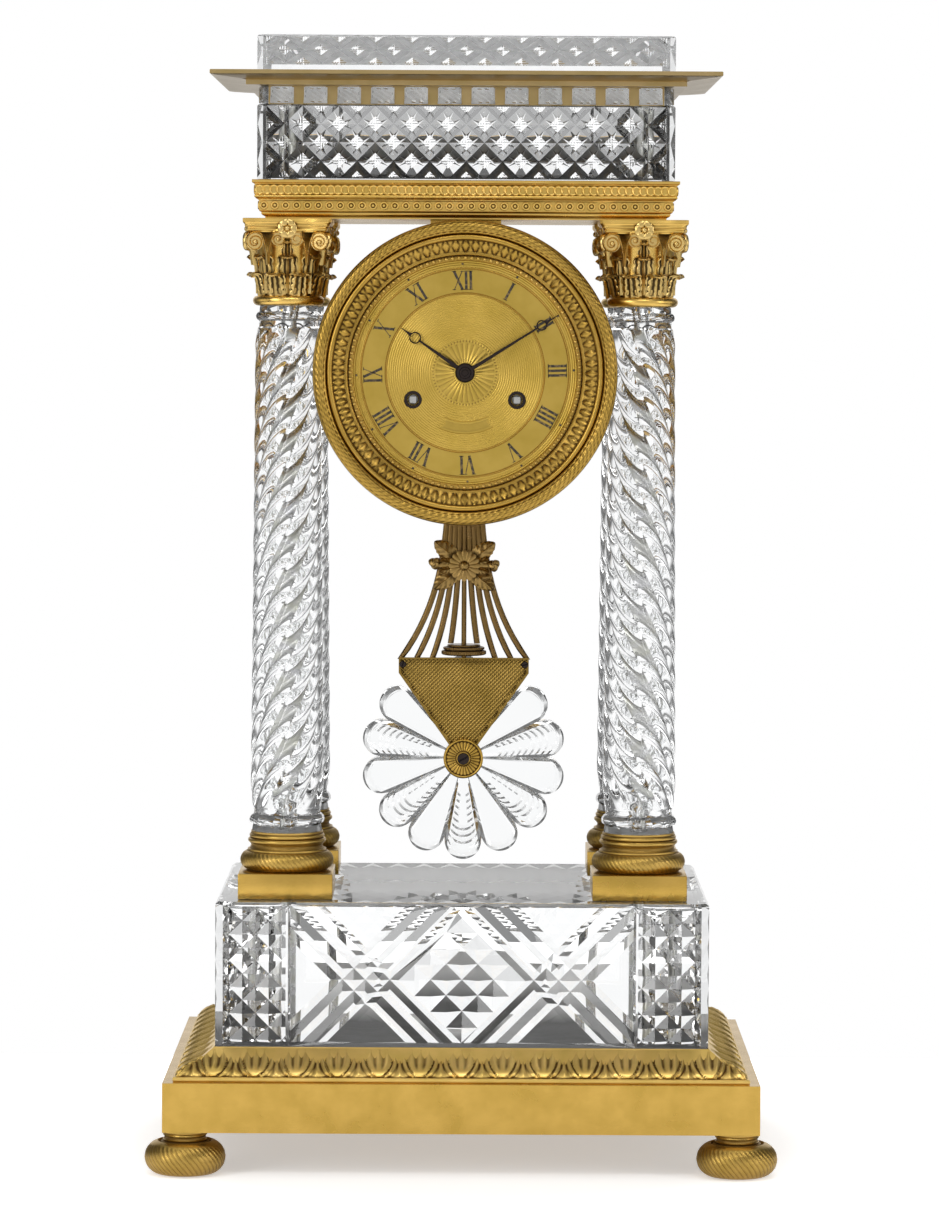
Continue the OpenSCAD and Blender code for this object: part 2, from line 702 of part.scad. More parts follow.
module plate_pillars() {
    color(brass) at_face([0, 0]) for (p = PILLARS) translate([p[0], 0, p[1]]) {
        bar(3, train_front, train_back);
        bar(1.5, plate_front, plate_back);
    }
}

module bell() {
    rim = 30;
    wall = 1.8;
    depth = 22;
    color("silver") at_face([0, 0]) turned(concat(
        [for (k = [0:10]) let (a = k * 8.4) [rim * cos(a), y_bell + depth * sin(a)]],
        [for (k = [10:-1:0]) let (a = k * 8.4) [(rim - wall) * cos(a), y_bell + (depth - wall) * sin(a)]]));
}

// Post on the back plate, with the arm that carries the bell
module bell_stand() {
    top = y_bell + 22.3;
    reach = norm(AT_BELL_POST);
    color(steel) at_face([0, 0]) {
        translate([AT_BELL_POST[0], 0, AT_BELL_POST[1]]) bar(2.6, plate_back, top + 3);
        slab(top, top + 3) rotate(heading([0, 0], AT_BELL_POST)) translate([0, -2.4]) square([reach, 4.8]);
        bar(2.5, y_bell + 17, top + 3);
        bar(4.8, y_bell + 17, y_bell + 19.6);
    }
}

module suspension_cock() {
    color(brass) at_face(AT_ANCHOR) difference() {
        union() {
            translate([-6, plate_back, 3.4]) cube([12, pendulum_y - plate_back + 4, 6]);
            translate([-6, pendulum_y - 3, 1.2]) cube([12, 7, 4]);
        }
        translate([-3.2, pendulum_y - 0.4, 0]) cube([6.4, 0.8, 5]);
    }
}

// Outline of a hand that points up: an open ring near the tip
module hand_outline(tip, eye, eye_r, foot_w) {
    difference() {
        union() {
            polygon([[-foot_w / 2, 0], [foot_w / 2, 0], [foot_w * 0.28, eye - eye_r * 0.8],
                [-foot_w * 0.28, eye - eye_r * 0.8]]);
            translate([0, eye]) circle(r = eye_r);
            polygon([[-foot_w * 0.5, eye + eye_r * 0.7], [foot_w * 0.5, eye + eye_r * 0.7], [0.15, tip], [-0.15, tip]]);
        }
        translate([0, eye + eye_r * 0.15]) circle(r = eye_r * 0.6);
    }
}

module minute_hand() {
    y0 = dial_front - 4;
    color("midnightblue") at_face([0, 0]) rotate([0, minute_angle, 0]) difference() {
        union() {
            slab(y0, y0 + 0.8) hand_outline(dial_r - 1.3, dial_r - 11.4, 2.5, 2.4);
            bar(4.4, y0 - 0.2, y0 + 1.2);
            bar(2.9, y0 - 1.1, y0);
        }
        bar(cannon_r + 0.02, y0, y0 + 3);
        bar(arbor_r + 0.15 + run_gap, y0 - 3, y0 + 1);
    }
}

module cannon_pinion() {
    color(steel) at_face([0, 0]) difference() {
        union() {
            bar(cannon_r, dial_front - 3.9, y_cannon);
            pinion(cannon_teeth, m_cannon, y_cannon - 2, y_cannon, TURN_CENTRE);
        }
        bar(arbor_r + 0.15 + run_gap, dial_front - 6, y_cannon + 1);
    }
}

module centre_wheel() {
    color(brass) at_face([0, 0]) {
        crossed_wheel(centre_teeth, m_centre, y_centre, TURN_CENTRE);
        pinion(centre_pinion, m_barrel, y_mid - 1, y_mid + wheel_t + 1, TURN_CENTRE);
        bar(arbor_r + 0.15, dial_front - 4.8, train_back - 0.3);
        bar(pivot_r, train_back - 0.4, plate_back - 0.2);
    }
}

module hour_hand() {
    y0 = dial_front - 1.9;
    color("midnightblue") at_face([0, 0]) rotate([0, hour_angle, 0]) difference() {
        union() {
            slab(y0, y0 + 0.8) hand_outline(dial_r * 0.69, dial_r * 0.54, 3, 3);
            bar(4.8, y0, y0 + 1.2);
        }
        bar(pipe_r + 0.02, y0 - 1, y0 + 3);
    }
}

module hour_wheel() {
    color(brass) at_face([0, 0]) difference() {
        union() {
            slab(y_hour, y_hour + 1) rotate(TURN_HOUR) toothed(hour_teeth, m_hour);
            bar(pipe_r, dial_front - 1.9, y_hour + 1);
        }
        bar(cannon_r + 0.07, dial_front - 4, y_hour + 3);
    }
}

module minute_wheel() {
    color(brass) at_face(AT_MOTION) difference() {
        union() {
            slab(y_cannon - 1.6, y_cannon - 0.6) rotate(TURN_MOTION) toothed(motion_teeth, m_cannon);
            pinion(motion_pinion, m_hour, y_hour - 0.4, y_cannon - 1.2, TURN_MOTION);
        }
        bar(stud_r + run_gap, y_hour - 2, y_cannon + 1);
    }
}

module spring_barrel(p, turn) {
    color(brass) at_face(p) difference() {
        union() {
            bar(barrel_r, y_barrel, y_great + 0.1);
            slab(y_great, y_great + wheel_t + 0.5) rotate(turn) toothed(barrel_teeth, m_barrel);
        }
        bar(barrel_r - 1.2, y_barrel + 1.2, y_great - 0.6);
        bar(wind_r + run_gap, y_barrel - 1, y_great + 5);
    }
}

module winding_arbor(p) {
    side = 3.2;
    color(steel) at_face(p) {
        bar(wind_r, plate_front - 0.5, y_great + 3);
        bar(wind_r - 0.4, y_great + 2, plate_back - 0.2);
        bar(5, y_barrel + 2, y_great - 1.6);
        translate([-side / 2, dial_front + 0.6, -side / 2]) cube([side, plate_front - dial_front, side]);
    }
}

module intermediate_wheel() {
    color(brass) at_face(AT_MID) {
        crossed_wheel(mid_teeth, m_barrel, y_mid, TURN_MID);
        pinion(mid_pinion, m_barrel, y_great - 1, y_great + wheel_t + 1.5, TURN_MID);
        arbor();
    }
}

module third_wheel() {
    color(brass) at_face(AT_THIRD) {
        crossed_wheel(third_teeth, m_third, y_third, TURN_THIRD);
        pinion(third_pinion, m_centre, y_centre - 1, y_centre + wheel_t + 1, TURN_THIRD);
        arbor(r = 0.9);
    }
}

module escape_wheel() {
    r = 9.5;
    color(brass) at_face(AT_ESCAPE) {
        slab(y_escape, y_escape + 1.2) difference() {
            polygon([for (i = [0:escape_teeth - 1]) for (q = [[0, r - 1.7], [4.5, r], [5.3, r], [6.2, r - 1.7]])
                let (a = i * 360 / escape_teeth + q[0]) [q[1] * cos(a), q[1] * sin(a)]]);
            for (k = [0:4]) rotate(k * 72) translate([r * 0.5, 0]) circle(r = r * 0.2);
        }
        pinion(escape_pinion, m_third, y_third - 1, y_third + wheel_t + 1, TURN_ESCAPE);
        arbor(r = thin_r);
    }
}

// Pallets, their arbor and the crutch that goes down behind the back plate
module anchor() {
    inner = 10.8;
    outer = 13.2;
    crutch_y = plate_back + 1;
    fork = 1.3 + 0.25;
    color(steel) at_face(AT_ANCHOR) {
        slab(y_escape - 0.6, y_escape + 1.8) {
            translate([0, -pallet_reach]) difference() {
                circle(r = outer);
                circle(r = inner);
                polygon([[0, 0], [30, 22], [30, -30], [-30, -30], [-30, 22]]);
            }
            circle(r = 2.6);
        }
        bar(pivot_r, plate_front + 0.2, train_front + 1);
        bar(arbor_r, train_front + 0.3, crutch_y + 2);
        bar(2.4, crutch_y, crutch_y + 2);
        translate([-1.2, crutch_y, -44]) cube([2.4, 1.8, 44]);
        for (s = [-1, 1]) translate([s * (fork + 0.8) - 0.8, crutch_y, -46.5]) cube([1.6, pendulum_y - crutch_y + 1.5, 3.5]);
        translate([-fork - 1.6, crutch_y, -46.5]) cube([2 * fork + 3.2, 1.8, 3.5]);
    }
}

module pin_wheel() {
    pins = 8;
    color(brass) at_face(AT_PIN) {
        crossed_wheel(pin_teeth, m_fly, y_mid, TURN_PIN);
        pinion(mid_pinion, m_barrel, y_great - 1, y_great + wheel_t + 1.5, TURN_PIN);
        arbor();
        for (k = [0:pins - 1]) translate([9.8 * cos(k * 360 / pins), 0, 9.8 * sin(k * 360 / pins)])
            bar(0.5, y_mid + wheel_t - 0.1, y_mid + wheel_t + 2.5);
    }
}

module fly() {
    color(brass) at_face(AT_FLY) {
        pinion(fly_pinion, m_fly, y_mid - 1, y_mid + wheel_t + 1, TURN_FLY);
        arbor(r = 0.9);
        translate([-6.5, y_barrel + 2, -0.3]) cube([13, 9, 0.6]);
    }
}

module hammer() {
    arm_y = plate_back + 1;
    drop = 25;
    lean = heading(AT_HAMMER, AT_PIN);
    color(steel) at_face(AT_HAMMER) {
        bar(pivot_r, plate_front + 0.2, train_front + 1);
        bar(arbor_r, train_front + 0.3, arm_y + 2);
        slab(y_mid + wheel_t + 0.4, y_mid + wheel_t + 2) rotate(lean) {
            translate([0, -0.8]) square([4.8, 1.6]);
            circle(r = 2.3);
        }
        slab(arm_y, arm_y + 1.8) {
            circle(r = 2.6);
            translate([-1.1, -drop]) square([2.2, drop]);
        }
        translate([0, 0, -drop]) bar(3.4, arm_y, y_bell + 4);
    }
}

// Half width of the fan of rods at height z
function fan(z) = let (t = (rods_top - z) / (rods_top - rail_top)) 8 + 25 * pow(max(0, t), 4.75);

// Rods that spread from the top block to the rail behind the bob's plate
module pendulum_rods() {
    half = (rod_count - 1) / 2;
    steps = 14;
    color(brass) {
        slab(pendulum_y - rod_t / 2, pendulum_y + rod_t / 2) for (i = [-half:half]) {
            low = abs(i) == 1 ? nut_z + rating_h + 0.5 : rail_top;
            if (i != 0) polygon(concat(
                [for (k = [0:steps]) let (z = rods_top + (low - rods_top) * k / steps) [i / half * fan(z) - rod_w / 2, z]],
                [for (k = [steps:-1:0]) let (z = rods_top + (low - rods_top) * k / steps) [i / half * fan(z) + rod_w / 2, z]]));
        }
        translate([-10, pendulum_y - rod_t / 2, rods_top - 1]) cube([20, rod_t, 5]);
        translate([0, pendulum_y, rail_top]) cylinder(r = rod_r, h = pivot_z - 5 - rail_top);
        translate([-3, pendulum_y - 1.5, pivot_z - 8]) cube([6, 3, 3.5]);
        translate([-2.5, pendulum_y - 0.12, pivot_z - 5]) cube([5, 0.24, 5.6]);
    }
}

// Pointed leaf between two arcs
module leaf(len, wide) {
    r = (len * len / 4 + wide * wide / 4) / wide;
    intersection() {
        translate([len / 2, r - wide / 2]) circle(r = r);
        translate([len / 2, wide / 2 - r]) circle(r = r);
    }
}

module floral_mount() {
    y1 = pendulum_y - rod_t / 2;
    color("gold") translate([0, 0, mount_z]) {
        slab(y1 - 2.2, y1) {
            for (a = [42, 138, 222, 318]) rotate(a) translate([4, 0]) leaf(16, 6.5);
            translate([-16, -1]) square([32, 2]);
        }
        bar(7.6, y1 - 3.6, y1);
        bar(3, y1 - 4.6, y1);
        for (x = [-15.1, 15.1]) translate([x, 0, 0.6]) bar(3.3, y1 - 3.2, y1);
    }
}

module rating_nut() {
    color(brass) translate([0, pendulum_y, nut_z]) difference() {
        rotate_extrude() polygon([[0, 0], [10.6, 0], [11.7, 0.8], [11.7, 2], [10.2, 2.6], [10.8, 3.2], [10.8, 4],
            [8.6, 4.6], [8.4, rating_h], [0, rating_h]]);
        translate([0, 0, -1]) cylinder(r = rod_r + run_gap, h = rating_h + 2);
    }
}

module bob_plate() {
    y1 = pendulum_y - rod_t / 2;
    half = 33.8;
    color("gold") difference() {
        union() {
            slab(y1 - 2.5, y1)
                polygon([[half, bob_z + 44.5], [half, bob_top - 1], [-half, bob_top - 1], [-half, bob_z + 44.5],
                    [-6.7, bob_z + 6], [6.7, bob_z + 6]]);
            translate([-half, y1 - eps, rail_top - 6]) cube([2 * half, rod_t, 6]);
            translate([0, 0, bob_z]) {
                bar(boss_r, y1 - 4.6, y1);
                bar(8, y1 - eps, bob_front);
            }
        }
        translate([0, 0, bob_z]) bar(bob_screw_r + run_gap, y1 - 6, bob_front + 1);
        for (x = [-31.7, 31.7]) translate([x, 0, plate_screw_z]) bar(1 + run_gap, y1 - 4, pendulum_y + 0.8);
    }
}

module bob_crystal() {
    lobe = bob_r * sin(180 / bob_petals) * 0.8;
    color(glass) translate([0, 0, bob_z]) difference() {
        union() {
            bar(bob_r - lobe * 0.95, bob_front, bob_back);
            for (k = [0:bob_petals - 1]) rotate([0, (k + 0.5) * 360 / bob_petals + 180 / bob_petals, 0])
                translate([0, 0, bob_r - lobe]) bar(lobe, bob_front, bob_back);
        }
        bar(bob_screw_r + run_gap, bob_front - 1, bob_back + 1);
    }
}

module bob_screws() {
    y1 = pendulum_y - rod_t / 2;
    color("midnightblue") {
        translate([0, 0, bob_z]) {
            bar(3.1, y1 - 6, y1 - 4.6);
            bar(bob_screw_r, y1 - 5, bob_back + 2.8);
            bar(5, bob_back, bob_back + 2.6);
        }
        for (x = [-31.7, 31.7]) translate([x, 0, plate_screw_z]) {
            bar(1.8, y1 - 3.4, y1 - 2.5);
            bar(1, y1 - 3, pendulum_y + 0.6);
        }
    }
}

foot(0);  // foot_front_left
foot(1);  // foot_front_right
foot(2);  // foot_back_left
foot(3);  // foot_back_right
base_nuts();
plinth();
leaf_moulding();
crystal_base();
column_bases();
shaft(0);  // shaft_front_left
shaft(1);  // shaft_front_right
shaft(2);  // shaft_back_left
shaft(3);  // shaft_back_right
capital(0);  // capital_front_left
capital(1);  // capital_front_right
capital(2);  // capital_back_left
capital(3);  // capital_back_right
tie_rods();
architrave();
crystal_frieze();
crystal_dentils();
cornice();
crystal_attic();
drum_case();
drum_hanger();
front_bezel();
case_screws();
dial();
rear_bezel();
back_door();
front_plate();
back_plate();
plate_pillars();
movement_straps();
bell();
bell_stand();
suspension_cock();
minute_hand();
cannon_pinion();
centre_wheel();
hour_hand();
hour_wheel();
minute_wheel();
spring_barrel(AT_GOING, TURN_GOING);  // going_barrel
spring_barrel(AT_STRIKE, 0);  // strike_barrel
winding_arbor(AT_GOING);  // going_winding_arbor
winding_arbor(AT_STRIKE);  // strike_winding_arbor
intermediate_wheel();
third_wheel();
escape_wheel();
anchor();
pin_wheel();
fly();
hammer();
pendulum_rods();
floral_mount();
rating_nut();
bob_plate();
bob_crystal();
bob_screws();
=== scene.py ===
# %% [markdown]
# # A portico clock in gilt bronze and cut crystal
# The clock is a little temple: a gilt plinth on bun feet, a cut crystal block, four crystal columns, and an
# entablature of bronze and crystal from which a drum clock hangs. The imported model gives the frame: every
# body, node and level comes from it, and each finer piece made here takes a plain one's place or lies on it.

# %% Load the frame
import math
import bpy
import bmesh
from mathutils import Matrix, Vector


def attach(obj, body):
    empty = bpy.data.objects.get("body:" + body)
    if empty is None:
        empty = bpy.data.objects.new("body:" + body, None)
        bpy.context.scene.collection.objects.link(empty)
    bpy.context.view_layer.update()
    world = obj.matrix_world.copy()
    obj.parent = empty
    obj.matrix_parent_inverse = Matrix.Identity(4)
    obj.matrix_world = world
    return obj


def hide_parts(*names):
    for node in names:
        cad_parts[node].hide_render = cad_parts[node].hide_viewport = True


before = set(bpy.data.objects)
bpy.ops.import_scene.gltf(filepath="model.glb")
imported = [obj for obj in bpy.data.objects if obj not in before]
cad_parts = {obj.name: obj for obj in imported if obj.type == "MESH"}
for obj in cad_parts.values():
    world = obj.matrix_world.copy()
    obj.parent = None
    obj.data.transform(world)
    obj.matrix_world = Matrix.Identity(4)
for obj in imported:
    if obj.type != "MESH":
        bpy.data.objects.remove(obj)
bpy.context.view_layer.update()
scene = bpy.context.scene
MM = 0.001
TURN = 2 * math.pi

# %% [markdown]
# ## Camera
# The photograph was taken from far away with a long lens, almost level with the dial. The lens is given by
# its angle, and the camera's small tilt to one side is kept, because the real camera wasn't quite level
# either.

# %% Camera
CAMERA_AT = Vector((0.0043, -2.480, 0.4289))
PITCH = -0.0591
YAW = -0.0006
ROLL = 0.0052
FOCAL_PIXELS = 4756.5
FRAME_PIXELS = 939
SENSOR = 36.0
level = Vector((math.sin(YAW), math.cos(YAW), 0))
ahead = level * math.cos(PITCH) + Vector((0, 0, math.sin(PITCH)))
above = -level * math.sin(PITCH) + Vector((0, 0, math.cos(PITCH)))
across = ahead.cross(above)
right = across * math.cos(ROLL) + above * math.sin(ROLL)
up = right.cross(ahead)
camera_data = bpy.data.cameras.new("camera")
camera_data.sensor_fit = "HORIZONTAL"
camera_data.sensor_width = SENSOR
camera_data.lens = FOCAL_PIXELS * SENSOR / FRAME_PIXELS
camera = bpy.data.objects.new("camera", camera_data)
turned_to = Matrix((right, up, -ahead)).transposed().to_4x4()
camera.matrix_world = Matrix.Translation(CAMERA_AT) @ turned_to
scene.collection.objects.link(camera)
scene.camera = camera
scene.view_settings.view_transform = "Standard"
print("lens", round(camera_data.lens, 1), "mm")

# %% [markdown]
# ## Shared effects as node groups
# Gilding is never one flat gold: it is rubbed bright on raised edges, and holds old dirt and wax in the
# hollows. One group finds the hollows from the mesh's own shape and darkens them, which is partly that old
# patina and partly painted shade, and adds soft mottling; each finish mixes its colours with that mask. A
# second group gives fine turning lines round an axis, for lathe work.

# %% Node group helpers
def new_group(name, inputs, outputs):
    tree = bpy.data.node_groups.new(name, "ShaderNodeTree")
    for label, kind, value in inputs:
        socket = tree.interface.new_socket(label, in_out="INPUT", socket_type=kind)
        socket.default_value = value
    for label, kind in outputs:
        tree.interface.new_socket(label, in_out="OUTPUT", socket_type=kind)
    return tree, tree.nodes.new("NodeGroupInput"), tree.nodes.new("NodeGroupOutput")


def give(tree, socket, value):
    # a value is either another node's output or a plain number or colour
    if hasattr(value, "is_linked"):
        tree.links.new(value, socket)
    else:
        socket.default_value = value


def math_node(tree, operation, first, second=None, third=None):
    node = tree.nodes.new("ShaderNodeMath")
    node.operation = operation
    for slot, value in enumerate((first, second, third)):
        if value is not None:
            give(tree, node.inputs[slot], value)
    return node.outputs[0]


def mix_node(tree, factor, first, second, blend="MIX"):
    node = tree.nodes.new("ShaderNodeMix")
    node.data_type = "RGBA"
    node.blend_type = blend
    for socket, value in (("Factor", factor), ("A", first), ("B", second)):
        give(tree, node.inputs[socket], value)
    return node.outputs["Result"]


def split_node(tree, vector):
    node = tree.nodes.new("ShaderNodeSeparateXYZ")
    tree.links.new(vector, node.inputs[0])
    return node.outputs


def own_place(tree):
    return tree.nodes.new("ShaderNodeTexCoord").outputs["Object"]


def noise_node(tree, vector, scale, detail=3.0, roughness=0.55):
    node = tree.nodes.new("ShaderNodeTexNoise")
    tree.links.new(vector, node.inputs["Vector"])
    give(tree, node.inputs["Scale"], scale)
    node.inputs["Detail"].default_value = detail
    node.inputs["Roughness"].default_value = roughness
    return node.outputs["Fac"]


def ramp_node(tree, value, stops):
    node = tree.nodes.new("ShaderNodeValToRGB")
    tree.links.new(value, node.inputs["Fac"])
    ramp = node.color_ramp
    ramp.elements[0].position, ramp.elements[0].color = stops[0]
    ramp.elements[1].position, ramp.elements[1].color = stops[-1]
    for place, colour in stops[1:-1]:
        ramp.elements.new(place).color = colour
    return node.outputs["Color"]


BLACK = (0, 0, 0, 1)
WHITE = (1, 1, 1, 1)


def grey(level):
    return (level, level, level, 1)


def build_patina_and_shade():
    tree, source, result = new_group(
        "patina_and_painted_shade",
        [("Scale", "NodeSocketFloat", 60.0), ("Depth", "NodeSocketFloat", 1.0)],
        [("HollowPatinaShade", "NodeSocketFloat"), ("Mottle", "NodeSocketFloat"), ("Grain", "NodeSocketFloat")])
    place = own_place(tree)
    # the hollows found here are darkened: partly real patina, partly painted shade
    shape = tree.nodes.new("ShaderNodeNewGeometry").outputs["Pointiness"]
    hollow_patina_shade = ramp_node(tree, shape, [(0.455, WHITE), (0.505, BLACK)])
    cloud = noise_node(tree, place, source.outputs["Scale"])
    mottled_patina_shade = math_node(tree, "MULTIPLY", hollow_patina_shade, math_node(tree, "ADD", cloud, 0.45))
    depth = math_node(tree, "MULTIPLY", mottled_patina_shade, source.outputs["Depth"])
    grain = noise_node(tree, place, 2600.0, 2.0)
    tree.links.new(math_node(tree, "MINIMUM", depth, 1.0), result.inputs["HollowPatinaShade"])
    tree.links.new(cloud, result.inputs["Mottle"])
    tree.links.new(grain, result.inputs["Grain"])
    return tree


def build_turning():
    tree, source, result = new_group(
        "turning_lines",
        [("Centre", "NodeSocketVector", (0, 0, 0)), ("Pitch", "NodeSocketFloat", 0.0009)],
        [("Height", "NodeSocketFloat")])
    place = own_place(tree)
    from_centre = tree.nodes.new("ShaderNodeVectorMath")
    from_centre.operation = "SUBTRACT"
    tree.links.new(place, from_centre.inputs[0])
    tree.links.new(source.outputs["Centre"], from_centre.inputs[1])
    parts = split_node(tree, from_centre.outputs[0])
    squares = math_node(tree, "ADD", math_node(tree, "MULTIPLY", parts["X"], parts["X"]),
                        math_node(tree, "MULTIPLY", parts["Z"], parts["Z"]))
    radius = math_node(tree, "SQRT", squares)
    lines = math_node(tree, "DIVIDE", radius, source.outputs["Pitch"])
    wave = math_node(tree, "SINE", math_node(tree, "MULTIPLY", lines, TURN))
    tree.links.new(wave, result.inputs["Height"])
    return tree


patina_shade_group = build_patina_and_shade()
turning_group = build_turning()
print("groups", patina_shade_group.name, turning_group.name)

# %% [markdown]
# ## Finishes
# Fire gilding has two faces: matt ground, which scatters light, and burnished lines, which mirror it. Both
# are the same metal, so one function writes them, with its own roughness, depth of patina and painted shade,
# and bump. Some copies are made brighter than the plain gilding to paint light into them, on the leaf frame
# and the architrave's rings, and some darker to paint shade, on the hatched plate, and on the bezel and sun
# boss together with a deeper patina.

# %% Metal finishes
def new_material(name):
    material = bpy.data.materials.new(name)
    material.use_nodes = True
    tree = material.node_tree
    return material, tree, tree.nodes["Principled BSDF"]


def place_group(material, tree, **values):
    node = material.node_tree.nodes.new("ShaderNodeGroup")
    node.node_tree = tree
    for label, value in values.items():
        node.inputs[label].default_value = value
    return node


def metal(name, bright, deep, roughness, spread=0.12, depth=1.0, scale=60.0, bump=0.15, lines=None):
    material, tree, shader = new_material(name)
    shader.inputs["Metallic"].default_value = 1.0
    patina_shade = place_group(material, patina_shade_group, Scale=scale, Depth=depth)
    clouds = ramp_node(tree, patina_shade.outputs["Mottle"], [(0.35, BLACK), (0.7, WHITE)])
    redder = (*[0.84 * part for part in bright[:2]], 0.72 * bright[2], 1)
    tint = mix_node(tree, clouds, (*bright, 1), redder)
    # hollows take the deep colour, which is real patina and painted shade together
    give(tree, shader.inputs["Base Color"], mix_node(tree, patina_shade.outputs["HollowPatinaShade"], tint, (*deep, 1)))
    worn = math_node(tree, "MULTIPLY_ADD", patina_shade.outputs["Mottle"], spread, roughness - spread / 2)
    dull = math_node(tree, "MULTIPLY_ADD", patina_shade.outputs["HollowPatinaShade"], 0.25, worn)
    tree.links.new(dull, shader.inputs["Roughness"])
    height = patina_shade.outputs["Grain"]
    if lines is not None:
        centre, pitch, amount = lines
        turning = place_group(material, turning_group, Centre=centre, Pitch=pitch)
        height = math_node(tree, "MULTIPLY_ADD", turning.outputs["Height"], amount, height)
    relief = tree.nodes.new("ShaderNodeBump")
    relief.inputs["Strength"].default_value = bump
    relief.inputs["Distance"].default_value = 0.0002
    tree.links.new(height, relief.inputs["Height"])
    tree.links.new(relief.outputs["Normal"], shader.inputs["Normal"])
    return material


# name, bright colour, colour of the patina and painted shade in the hollows, roughness, depth of that patina
# and painted shade, strength of the bump
GILT = [("gilt_burnished", (0.54, 0.342, 0.080), (0.17, 0.095, 0.024), 0.26, 1.0, 0.15),
        ("gilt_matt", (0.49, 0.318, 0.084), (0.17, 0.095, 0.024), 0.34, 1.3, 0.35),
        ("gilt_chased", (0.72, 0.47, 0.13), (0.12, 0.062, 0.014), 0.28, 1.3, 0.25),
        # darker than the plain gilding: deeper patina and painted shade
        ("gilt_patina_painted_shade", (0.46, 0.285, 0.062), (0.07, 0.038, 0.010), 0.30, 2.0, 0.3),
        ("gilt_capital", (0.64, 0.45, 0.17), (0.065, 0.042, 0.017), 0.29, 2.0, 0.25),
        # brighter than the plain gilding: painted light
        ("gilt_painted_light", (0.84, 0.58, 0.18), (0.13, 0.070, 0.018), 0.36, 1.2, 0.15),
        ("gilt_brown", (0.29, 0.185, 0.066), (0.06, 0.036, 0.014), 0.32, 1.6, 0.15),
        # darker than the plain gilding: painted shade
        ("gilt_shaded", (0.25, 0.160, 0.040), (0.05, 0.028, 0.008), 0.32, 1.6, 0.15),
        ("gilt_worn", (0.44, 0.32, 0.15), (0.15, 0.10, 0.045), 0.30, 1.4, 0.2),
        ("dial_raised", (0.53, 0.362, 0.078), (0.20, 0.12, 0.03), 0.33, 1.2, 0.25)]
(gilt_plain, gilt_matt, gilt_chased, gilt_patina_painted_shade, gilt_capital, gilt_painted_light, gilt_brown, gilt_shaded, gilt_worn,
 dial_raised) = [metal(name, bright, deep, rough, depth=depth, bump=bump)
                 for name, bright, deep, rough, depth, bump in GILT]
DIAL_CENTRE = (0, 0, 0.403)
dial_gilt = metal("dial_gilt", (0.50, 0.335, 0.070), (0.26, 0.155, 0.03), 0.36, bump=0.5,
                  lines=(DIAL_CENTRE, 0.0011, 0.8))
brass = metal("brass", (0.62, 0.45, 0.18), (0.3, 0.19, 0.06), 0.28, bump=0.2,
              lines=(DIAL_CENTRE, 0.0006, 0.5))
bell_metal = metal("bell_metal", (0.62, 0.46, 0.25), (0.32, 0.2, 0.08), 0.22,
                   lines=(DIAL_CENTRE, 0.0008, 0.5))
rod_brass = metal("rod_brass", (0.175, 0.106, 0.038), (0.06, 0.035, 0.014), 0.30,
                  spread=0.2, depth=1.5, scale=160.0)
steel = metal("steel", (0.50, 0.50, 0.51), (0.20, 0.18, 0.17), 0.28, scale=140.0)
blued_steel = metal("blued_steel", (0.040, 0.031, 0.030), (0.014, 0.012, 0.014), 0.25,
                    scale=90.0, bump=0.06)
print("metals", [m.name for m in bpy.data.materials])

# %% [markdown]
# Numerals and minute dots are black wax melted into engraved lines, so they are dull and a little uneven.
# Crystal is clear lead glass: its index is high, which makes each cut facet throw a different part of the
# room.

# %% Wax and crystal
def wax():
    material, tree, shader = new_material("black_wax")
    cloud = noise_node(tree, own_place(tree), 700.0)
    tones = [(0.3, (0.010, 0.008, 0.006, 1)), (0.50, (0.035, 0.026, 0.014, 1)), (0.64, (0.20, 0.13, 0.04, 1))]
    give(tree, shader.inputs["Base Color"], ramp_node(tree, cloud, tones))
    give(tree, shader.inputs["Roughness"], math_node(tree, "MULTIPLY_ADD", cloud, 0.3, 0.32))
    return material


def cut_glass(name, tint, index):
    material, tree, shader = new_material(name)
    shader.inputs["Transmission Weight"].default_value = 1.0
    shader.inputs["IOR"].default_value = index
    place = own_place(tree)
    cloud = noise_node(tree, place, 40.0, 2.0)
    pale = [1.0 - 0.6 * (1.0 - part) for part in tint]
    give(tree, shader.inputs["Base Color"], ramp_node(tree, cloud, [(0.3, (*tint, 1)), (0.7, (*pale, 1))]))
    wear = noise_node(tree, place, 900.0, 2.0)
    give(tree, shader.inputs["Roughness"], ramp_node(tree, wear, [(0.55, BLACK), (0.8, grey(0.06))]))
    return material


def painted_backing(name, level, far_level=None):
    # a flat sheet under the crystal, where a ray from inside the glass ends; a dark sheet paints shade into
    # the facets and a pale one paints light with a far level, the sheet is paler towards the back of the
    # clock
    material, tree, shader = new_material(name)
    place = own_place(tree)
    cloud = noise_node(tree, place, 120.0)
    colour = ramp_node(tree, cloud, [(0.3, grey(0.85 * level)), (0.7, grey(1.15 * level))])
    if far_level:
        depth = math_node(tree, "MULTIPLY_ADD", split_node(tree, place)["Y"], 10.0, 0.5)
        far_share = ramp_node(tree, depth, [(0.4, BLACK), (1.0, WHITE)])
        colour = mix_node(tree, far_share, colour, grey(far_level))
    give(tree, shader.inputs["Base Color"], colour)
    give(tree, shader.inputs["Roughness"], math_node(tree, "MULTIPLY_ADD", cloud, 0.2, 0.7))
    return material


black_wax = wax()
base_painted_shade = painted_backing("base_painted_shade", 0.16, 0.85)
frieze_painted_shade = painted_backing("frieze_painted_shade", 0.14, 0.8)
grey_painted_shade = painted_backing("grey_painted_shade", 0.40)
pale_painted_light = painted_backing("pale_painted_light", 0.95)
crystal = cut_glass("crystal", (0.955, 0.965, 0.97), 1.54)
print("wax and crystal made")

